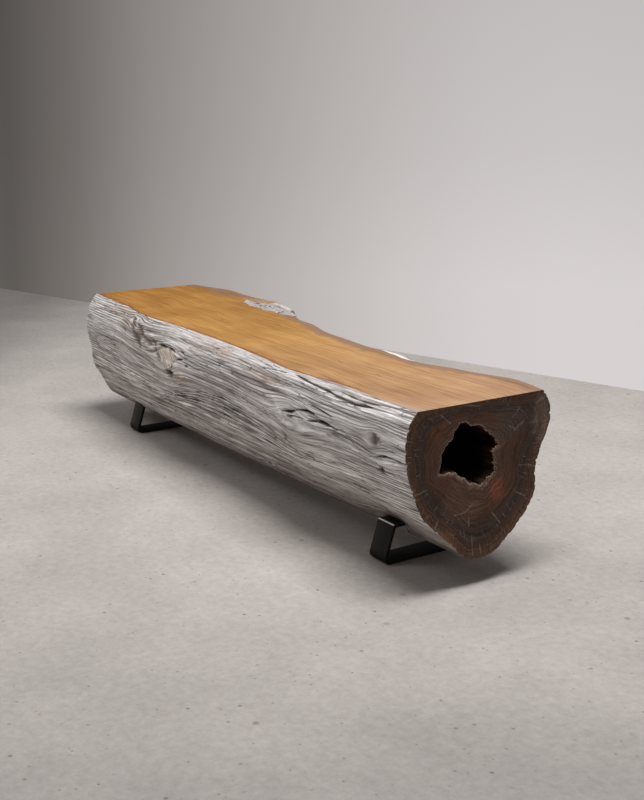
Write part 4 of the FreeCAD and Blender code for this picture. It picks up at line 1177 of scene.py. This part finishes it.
def makeEndWood():
    material, tree = startMaterial("sawnEnd")
    place = objectPlace(tree)
    turn, reach = axesOf(tree, grainMap(tree))[:2]
    cloud = addNoise(tree, place, *endFinish["cloud"])["Fac"]
    # how far out from the hollow, wandering a little
    out = addMath(tree, "ADD", reach, addSway(tree, cloud, endFinish["zoneSway"]))
    tone = addRamp(tree, out, endFinish["zones"])
    for spot in endFinish["patches"]:
        shrink = (1.0, 1 / spot["reach"][0], 1 / spot["reach"][1])
        mask = addSpot(tree, place, (logForm["halfLength"], *spot["middle"]), shrink,
                       addSway(tree, cloud, endFinish["patchSway"]), endFinish["patchGain"])
        tone = addMix(tree, addMath(tree, "MULTIPLY", mask, spot["weight"]), tone, spot["colour"])

    def spun(outward, turnScale, outScale, third=0.0):
        around = addMath(tree, "MULTIPLY", turn, turnScale)
        return addMap(tree, around, addMath(tree, "MULTIPLY", outward, outScale), third)

    ring = addNoise(tree, spun(out, *endFinish["ringMap"]), *endFinish["ring"])["Fac"]
    tone = addTint(tree, tone, 0.85, ring, endFinish["ringTones"])
    ray = addNoise(tree, spun(reach, *endFinish["rayMap"]), *endFinish["ray"])["Fac"]
    edge = addMath(tree, "MULTIPLY", addFade(tree, reach, *endFinish["rayEdge"]), 0.6)
    tone = addTint(tree, tone, addMath(tree, "ADD", edge, 0.25), ray, endFinish["rayTones"])
    grit = addNoise(tree, place, *endFinish["grit"])["Fac"]
    tone = addTint(tree, tone, 0.5, grit, endFinish["gritTones"])
    sway = addVector(tree, "SCALE", addNoise(tree, place, 70.0)["Color"], endFinish["markWander"])
    wander = addVector(tree, "ADD", place, sway)
    shift = endFinish["markWander"] / 2
    marks = None
    for ends in endFinish["marks"]:
        start, end = ((logForm["halfLength"] + shift, y + shift, z + shift) for y, z in ends)
        mask = addGroup(tree, markGroup, {
            "Point": wander, "Start": start, "End": end, "Width": endFinish["markWidth"]})["Mask"]
        marks = mask if marks is None else addMath(tree, "MAXIMUM", marks, mask)
    tick = addNoise(tree, spun(reach, *endFinish["tickMap"], 4.0), 1.0, 1.0)["Fac"]
    tick = addOver(tree, tick, endFinish["tickLeast"], endFinish["tickGain"])
    tick = addMath(tree, "MULTIPLY", tick, addOver(tree, reach, endFinish["tickFrom"], endFinish["tickRise"]))
    line = addMath(tree, "MULTIPLY", marks, addMath(tree, "MULTIPLY", grit, 1.9))
    tone = addMix(tree, addMath(tree, "MAXIMUM", line, tick), tone, endFinish["mark"])
    # painted highlight on the hollow's lip, broken up by the grit
    rim = addOver(tree, grit, endFinish["rimHighlightLeast"], endFinish["rimHighlightGain"])
    tone = addMix(tree, addMath(tree, "MULTIPLY", pointValue(tree, "rim"), rim), tone, endFinish["rim"])
    height = addSum(tree, (ring, 0.8), (grit, 0.35), (marks, -0.3))
    return finishMaterial(material, endFinish, tone, height)


hollowFinish = {
    "rot": (40.0, 6.0, 0.7), "mouthDepth": 0.05,
    # the inside colours are painted shade, near black deeper in; the mouth keeps the wood's brown
    "inside": [(0.35, (0.004, 0.003, 0.002)), (0.6, (0.016, 0.011, 0.008)), (0.8, (0.040, 0.028, 0.018))],
    "mouth": [(0.35, (0.030, 0.015, 0.009)), (0.65, (0.210, 0.098, 0.052))],
    "rough": 0.95, "specular": 0.1, "bump": (1.0, 0.006),
}


def makeHollowWood():
    material, tree = startMaterial("rottenHollowWithShade")
    place = objectPlace(tree)
    # painted shade: the hollow turns darker past its mouth
    deep = addBelow(tree, axesOf(tree, place)["X"], logForm["halfLength"], hollowFinish["mouthDepth"])
    rot = addNoise(tree, place, *hollowFinish["rot"])["Fac"]
    mouth = addRamp(tree, rot, hollowFinish["mouth"])
    tone = addMix(tree, addMath(tree, "POWER", deep, 0.5), mouth, addRamp(tree, rot, hollowFinish["inside"]))
    return finishMaterial(material, hollowFinish, tone, rot)


scoopFinish = {
    "grain": {"Along": 3.0, "Across": 55.0, "Wander": 0.020}, "speck": (45.0, 4.0, 0.65),
    "greys": [(0.36, (0.300, 0.255, 0.240)), (0.50, (0.520, 0.480, 0.470)), (0.64, (0.620, 0.590, 0.580))],
    "fine": [(0.30, (0.50, 0.46, 0.43)), (0.50, 1.0), (0.75, 1.2)],
    # dark specks, more of them past a place along the bench
    "dark": (0.070, 0.052, 0.044), "least": 0.585, "more": 0.075, "moreFrom": -0.40, "gain": 16.0,
    # the brown strip behind a line across the scoop: its slope, its place at x 0, its soft edge
    "strip": (0.400, 0.235, 0.130), "stripLine": (0.60, 0.524, 0.010),
    "rough": 0.85, "specular": 0.5, "bump": (0.8, 0.003),
}


def makeScoopWood():
    material, tree = startMaterial("weatheredScoop")
    place = objectPlace(tree)
    along, across = axesOf(tree, place)[:2]
    fibres = addGroup(tree, fibreGroup, {"Map": place, **scoopFinish["grain"]})
    fine = addRamp(tree, fibres["Fine"], scoopFinish["fine"])
    tone = addMix(tree, 0.8, addRamp(tree, fibres["Broad"], scoopFinish["greys"]), fine, "MULTIPLY")
    speck = addNoise(tree, place, *scoopFinish["speck"])["Fac"]
    more = addMath(tree, "MULTIPLY", addFade(tree, along, scoopFinish["moreFrom"], 0.10), scoopFinish["more"])
    dark = addOver(tree, speck, addMath(tree, "SUBTRACT", scoopFinish["least"], more), scoopFinish["gain"])
    tone = addMix(tree, dark, tone, scoopFinish["dark"])
    slope, start, soft = scoopFinish["stripLine"]
    strip = addMath(tree, "SUBTRACT", across, addMath(tree, "MULTIPLY", along, slope))
    tone = addLaidColour(tree, tone, addFade(tree, strip, start, soft), scoopFinish["strip"], fine, 0.6)
    return finishMaterial(material, scoopFinish, tone, fibres["Fine"])


slotFinish = {
    "grain": {"Along": 4.0, "Across": 60.0, "Wander": 0.010},
    "browns": [(0.3, (0.110, 0.068, 0.038)), (0.7, (0.260, 0.170, 0.095))],
    "fine": [(0.3, (0.7, 0.68, 0.65)), (0.6, 1.1)],
    "rough": 0.8, "specular": 0.5, "bump": (0.4, 0.001),
}


def makeSlotWood():
    material, tree = startMaterial("sawnSlot")
    fibres = addGroup(tree, fibreGroup, {"Map": objectPlace(tree), **slotFinish["grain"]})
    tone = addRamp(tree, fibres["Broad"], slotFinish["browns"])
    tone = addTint(tree, tone, 0.7, fibres["Fine"], slotFinish["fine"])
    return finishMaterial(material, slotFinish, tone, fibres["Fine"])


deadKnotForm = {
    "middle": (-0.252, 0.348), "sunk": 0.010, "face": -0.2465, "proud": 0.0032, "furthest": -0.2500, "lean": 53,
    # the broken branch's outline on the front, x and height
    "outline": [(-0.309, 0.366), (-0.290, 0.374), (-0.262, 0.379), (-0.230, 0.379), (-0.199, 0.372),
                (-0.190, 0.360), (-0.200, 0.346), (-0.217, 0.332), (-0.232, 0.320), (-0.246, 0.311),
                (-0.262, 0.314), (-0.279, 0.326), (-0.296, 0.342), (-0.307, 0.354)],
    # ripples of the outline, as a share of its reach, and how deep the fibres are torn
    "rags": ((5, 1, 73, 0.10), (14, 1, 74, 0.05)), "tears": ((16, 150, 71, 0.0030),),
    "splinters": ((40, 420, 72, 0.0016),),
    "grain": {"Along": 8.0, "Across": 90.0, "Wander": 0.006},
    "greys": [(0.34, (0.400, 0.290, 0.215)), (0.50, (0.780, 0.680, 0.610)), (0.66, (0.930, 0.880, 0.840))],
    "fine": [(0.32, (0.50, 0.44, 0.40)), (0.50, 1.0), (0.70, 1.15)],
    "rot": (0.055, 0.032, 0.020), "rotSharp": 14.0,
    "rough": 0.85, "specular": 0.2, "bump": (1.0, 0.003),
}


def makeDeadWood():
    material, tree = startMaterial("deadBranchWood")
    place = objectPlace(tree)
    lean = math.radians(deadKnotForm["lean"])
    along = addVector(tree, "DOT_PRODUCT", place, (math.cos(lean), 0, -math.sin(lean)))
    across = addVector(tree, "DOT_PRODUCT", place, (math.sin(lean), 0, math.cos(lean)))
    spot = addMap(tree, along, across, axesOf(tree, place)["Y"])
    fibres = addGroup(tree, fibreGroup, {"Map": spot, **deadKnotForm["grain"]})
    tone = addRamp(tree, fibres["Broad"], deadKnotForm["greys"])
    tone = addTint(tree, tone, 0.8, fibres["Fine"], deadKnotForm["fine"])
    rot = addMath(tree, "POWER", pointValue(tree, "rim"), deadKnotForm["rotSharp"])
    tone = addMix(tree, rot, tone, deadKnotForm["rot"])
    return finishMaterial(material, deadKnotForm, tone, fibres["Fine"])


def makeDeadKnot():
    # the broken branch that still stands in the scar, torn along its fibres
    deselectAll()
    bpy.ops.mesh.primitive_uv_sphere_add(segments=128, ring_count=72, radius=1)
    knot = bpy.context.object
    knot.name = "deadKnot"
    mesh = knot.data
    place = vertexPlaces(mesh)
    middle = np.array(deadKnotForm["middle"])
    outline = np.array(deadKnotForm["outline"]) - middle
    turns = np.arctan2(outline[:, 1], outline[:, 0])
    order = np.argsort(turns)
    turn = np.arctan2(place[:, 2], place[:, 0])
    out = np.hypot(place[:, 0], place[:, 2])
    reach = np.interp(turn, turns[order], np.hypot(*outline.T)[order], period=2 * np.pi)
    reach = reach * (1 + ripples(turn, turn * 0, deadKnotForm["rags"]))
    x, z = out * reach * np.cos(turn), out * reach * np.sin(turn)
    lean = math.radians(deadKnotForm["lean"])
    along, across = x * math.cos(lean) - z * math.sin(lean), x * math.sin(lean) + z * math.cos(lean)
    torn = np.abs(ripples(along, across, deadKnotForm["tears"]))
    torn = torn + ripples(along, across, deadKnotForm["splinters"])
    # the log's own skin behind each point
    skin = np.array([log.ray_cast(Vector((middle[0] + a, -1, middle[1] + b)), Vector((0, 1, 0)))[1].y
                     for a, b in zip(x, z)])
    flat = deadKnotForm["face"] - 0.10 * across + 0.05 * along
    front = np.maximum(np.minimum(flat, skin - deadKnotForm["proud"]) - torn, deadKnotForm["furthest"])
    outer = place[:, 1] < 0
    share = np.where(outer, np.sqrt(np.clip(1 - out ** 6, 0, 1)), 0)
    depth = skin + deadKnotForm["sunk"] * (1 - 0.6 * outer)
    spot = np.stack([middle[0] + x, depth + (front - depth) * share, middle[1] + z], axis=1)
    mesh.vertices.foreach_set("co", spot.ravel())
    storeValue(mesh, "rim", np.where(outer, out, 1.0))
    mesh.update()
    bpy.ops.object.shade_smooth_by_angle(angle=math.radians(60))
    mesh.materials.append(makeDeadWood())
    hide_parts("log_body")
    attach(knot, "root")
    print("dead knot set in its scar")


for finish in (makeSideWood(), makeSeatWood(), makeEndWood(), makeHollowWood()):
    log.data.materials.append(finish)
cutFrom(log, makeScoopCutter(makeScoopWood()))
slotWood = makeSlotWood()
for x in logForm["legsAt"]:
    cutFrom(log, makeSlotCutter(x, slotWood))
makeActive(log)
bpy.ops.object.shade_smooth_by_angle(angle=math.radians(48))
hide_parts("log_body")
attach(log, "root")
print("log cut and finished:", len(log.data.polygons), "faces")
makeDeadKnot()

legForm = {
    "names": (("nearLeg", "near_leg_frame"), ("farLeg", "far_leg_frame")),
    "baseWidth": 0.252, "topWidth": 0.188, "height": 0.101, "bar": (0.065, 0.008),
    "baseBend": 0.018, "topBend": 0.004, "edge": 0.0012,
    "mottle": (26.0, 7.0, 0.7), "grit": (900.0, 2.0),
    "blacks": [(0.35, (0.0020, 0.0020, 0.0021)), (0.70, (0.0080, 0.0076, 0.0074))],
    # rubbed near the floor, with a painted highlight on the upper bends
    "rub": (0.020, 0.018, 0.017), "rubHeight": 0.012, "wearAndHighlight": (0.620, 0.610, 0.600), "highlightFrom": (0.094, 0.002),
    # roughness, and where the bar turns dull towards the floor
    "rough": [(0.3, 0.26), (0.7, 0.46)], "dull": 0.85, "dullBelow": (0.030, 0.020),
    "specular": 0.16, "bump": (0.25, 0.0004),
}


def makeLegSteel():
    material, tree = startMaterial("blackLegSteel")
    place = objectPlace(tree)
    level = axesOf(tree, place)["Z"]
    mottle = addNoise(tree, place, *legForm["mottle"])["Fac"]
    tone = addRamp(tree, mottle, legForm["blacks"])
    patch = addMath(tree, "MULTIPLY", addMath(tree, "SUBTRACT", mottle, 0.42, clamp=True), 4.0)
    scuff = addMath(tree, "MULTIPLY", addNear(tree, level, legForm["rubHeight"]), patch)
    tone = addMix(tree, scuff, tone, legForm["rub"])
    # painted highlight on the upper bends, which face neither straight up nor sideways
    upward = axesOf(tree, addNode(tree, "ShaderNodeTexCoord").outputs["Normal"])["Z"]
    bend = addMath(tree, "MULTIPLY", addFade(tree, upward, 0.35, 0.05), addBelow(tree, upward, 0.97, 0.03))
    bend = addMath(tree, "MULTIPLY", bend, addFade(tree, level, *legForm["highlightFrom"]))
    # a pale colour on the upper bends stands in for a painted highlight
    tone = addMix(tree, bend, tone, legForm["wearAndHighlight"])
    low = addBelow(tree, level, *legForm["dullBelow"])
    rough = addMix(tree, low, addRamp(tree, mottle, legForm["rough"]), legForm["dull"])
    grit = addNoise(tree, place, *legForm["grit"])["Fac"]
    return finishMaterial(material, legForm, tone, grit, rough)


def makeLegFrame(name, x, node, finish):
    # a bent flat-bar ring: a bevelled plate, inset, pierced and drawn out to the bar's width
    deselectAll()
    bpy.ops.mesh.primitive_plane_add(size=1, rotation=(math.pi / 2, 0, math.pi / 2))
    leg = bpy.context.object
    leg.name = name
    wide, thick = legForm["bar"]
    leg.scale = (legForm["baseWidth"], legForm["height"], 1)
    leg.location = (x - wide / 2, logForm["legLine"], legForm["height"] / 2)
    applyPlace(leg)
    topShare = legForm["topWidth"] / legForm["baseWidth"]
    slope = math.atan2(legForm["height"], (legForm["baseWidth"] - legForm["topWidth"]) / 2)
    for vertex in leg.data.vertices:
        if vertex.co.z > legForm["height"] / 2:
            vertex.co.y = logForm["legLine"] + (vertex.co.y - logForm["legLine"]) * topShare
    bends = ((0, legForm["baseBend"], slope), (legForm["height"], legForm["topBend"], math.pi - slope))
    for level, bend, angle in bends:
        pickIn(leg, "VERT", lambda corner: abs(corner.co.z - level) < 0.0001)
        bpy.ops.mesh.bevel(offset=bend / math.tan(angle / 2), segments=10, affect="VERTICES")
    bpy.ops.mesh.select_all(action="SELECT")
    bpy.ops.mesh.inset(thickness=thick, use_even_offset=True)
    bpy.ops.mesh.delete(type="FACE")
    bpy.ops.mesh.select_all(action="SELECT")
    bpy.ops.mesh.extrude_region_move(TRANSFORM_OT_translate={"value": (wide, 0, 0)})
    bpy.ops.mesh.select_all(action="SELECT")
    bpy.ops.mesh.normals_make_consistent(inside=False)
    bpy.ops.object.mode_set(mode="OBJECT")
    soften = leg.modifiers.new("softEdges", "BEVEL")
    soften.width, soften.segments = legForm["edge"], 3
    soften.limit_method, soften.angle_limit = "ANGLE", math.radians(50)
    bpy.ops.object.modifier_apply(modifier=soften.name)
    bpy.ops.object.shade_smooth_by_angle(angle=math.radians(35))
    leg.data.materials.clear()
    leg.data.materials.append(finish)
    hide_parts(node)
    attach(leg, "root")


legSteel = makeLegSteel()
for (name, node), x in zip(legForm["names"], logForm["legsAt"]):
    makeLegFrame(name, x, node, legSteel)
print("leg frames made")

screwForm = {
    "offset": 0.045, "headBottom": 0.086, "headTop": 0.093, "acrossFlats": 0.017,
    "washer": 0.0079, "washerThick": 0.0006, "chamfer": (0.0013, 0.0010), "edge": 0.0003,
    # the shank's outer and root radius, its bands, the first ridged band, its top and its tip
    "shank": 0.0049, "root": 0.0040, "bands": 40, "firstRidge": 11,
    "shankTop": 0.164, "tip": 0.173, "tipShare": 0.32,
    "zinc": (0.42, 0.41, 0.40), "zincDull": (0.24, 0.235, 0.23), "cloud": (160.0, 5.0, 0.65), "spangle": 420.0,
    "stain": (0.11, 0.075, 0.05), "stainLeast": 0.56, "stainGain": 5.0, "rough": [(0.3, 0.30), (0.7, 0.55)],
}


def makeScrewSteel():
    material, tree = startMaterial("zincScrewSteel")
    place = objectPlace(tree)
    spangle = addNode(tree, "ShaderNodeTexVoronoi", {
        "Vector": place, "Scale": screwForm["spangle"], "Randomness": 1.0}).outputs["Color"]
    cloud = addNoise(tree, place, *screwForm["cloud"])["Fac"]
    tone = addMix(tree, cloud, screwForm["zincDull"], screwForm["zinc"])
    tone = addMix(tree, 0.25, tone, spangle, "SOFT_LIGHT")
    stain = addOver(tree, cloud, screwForm["stainLeast"], screwForm["stainGain"])
    shader = tree.nodes["Principled BSDF"].inputs
    tree.links.new(addMix(tree, stain, tone, screwForm["stain"]), shader["Base Color"])
    tree.links.new(addMath(tree, "SUBTRACT", 1.0, stain), shader["Metallic"])
    tree.links.new(addRamp(tree, cloud, screwForm["rough"]), shader["Roughness"])
    return material


def makeRod(sides, radius, bottom, top):
    deselectAll()
    bpy.ops.mesh.primitive_cylinder_add(
        vertices=sides, radius=radius, depth=top - bottom, location=(0, 0, (bottom + top) / 2))
    rod = bpy.context.object
    applyPlace(rod)
    return rod


def makeScrew():
    # hex head with a chamfer and a washer face, then a ridged shank with a point
    low, high = screwForm["headBottom"], screwForm["headTop"]
    radius = screwForm["acrossFlats"] / math.sqrt(3)
    head = makeRod(6, radius, low, high - screwForm["washerThick"])
    pickIn(head, "FACE", lambda face: face.normal.z < -0.9)
    inward, upward = screwForm["chamfer"]
    bpy.ops.mesh.inset(thickness=inward, use_even_offset=True)
    bpy.ops.object.mode_set(mode="OBJECT")
    for vertex in head.data.vertices:
        if vertex.co.z < low + 0.0001 and math.hypot(vertex.co.x, vertex.co.y) > radius - 0.0005:
            vertex.co.z += upward
    soften = head.modifiers.new("softEdges", "BEVEL")
    soften.width, soften.segments, soften.limit_method = screwForm["edge"], 2, "ANGLE"
    bpy.ops.object.modifier_apply(modifier=soften.name)
    washer = makeRod(48, screwForm["washer"], high - screwForm["washerThick"], high)
    shank = makeRod(24, screwForm["shank"], high, screwForm["shankTop"])
    band = (screwForm["shankTop"] - high) / screwForm["bands"]
    bpy.ops.object.mode_set(mode="EDIT")
    bpy.ops.mesh.select_all(action="SELECT")
    for number in range(1, screwForm["bands"]):
        bpy.ops.mesh.bisect(plane_co=(0, 0, high + band * number), plane_no=(0, 0, 1))
        bpy.ops.mesh.select_all(action="SELECT")
    bpy.ops.object.mode_set(mode="OBJECT")
    share = screwForm["root"] / screwForm["shank"]
    for vertex in shank.data.vertices:
        number = (vertex.co.z - high) / band
        if number > screwForm["firstRidge"] and round(number) % 2:
            vertex.co.x, vertex.co.y = vertex.co.x * share, vertex.co.y * share
    pickIn(shank, "FACE", lambda face: face.normal.z > 0.9)
    rise = screwForm["tip"] - screwForm["shankTop"]
    bpy.ops.mesh.extrude_region_move(TRANSFORM_OT_translate={"value": (0, 0, rise)})
    bpy.ops.transform.resize(value=(screwForm["tipShare"], screwForm["tipShare"], 1))
    makeActive(head)
    for part in (washer, shank):
        part.select_set(True)
    bpy.ops.object.join()
    bpy.ops.object.shade_smooth_by_angle(angle=math.radians(30))
    return head


screw = makeScrew()
screw.data.materials.clear()
screw.data.materials.append(makeScrewSteel())
spots = [(x, side * screwForm["offset"]) for x in logForm["legsAt"] for side in (-1, 1)]
for number, (x, offset) in enumerate(spots, start=1):
    piece = screw.copy()
    piece.data = screw.data.copy()
    piece.name = "legScrew" + str(number)
    bpy.context.collection.objects.link(piece)
    piece.location = (x, logForm["legLine"] + offset, 0)
    applyPlace(piece)
    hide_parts("leg_screws")
    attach(piece, "root")
bpy.data.objects.remove(screw, do_unlink=True)
print("screws placed")
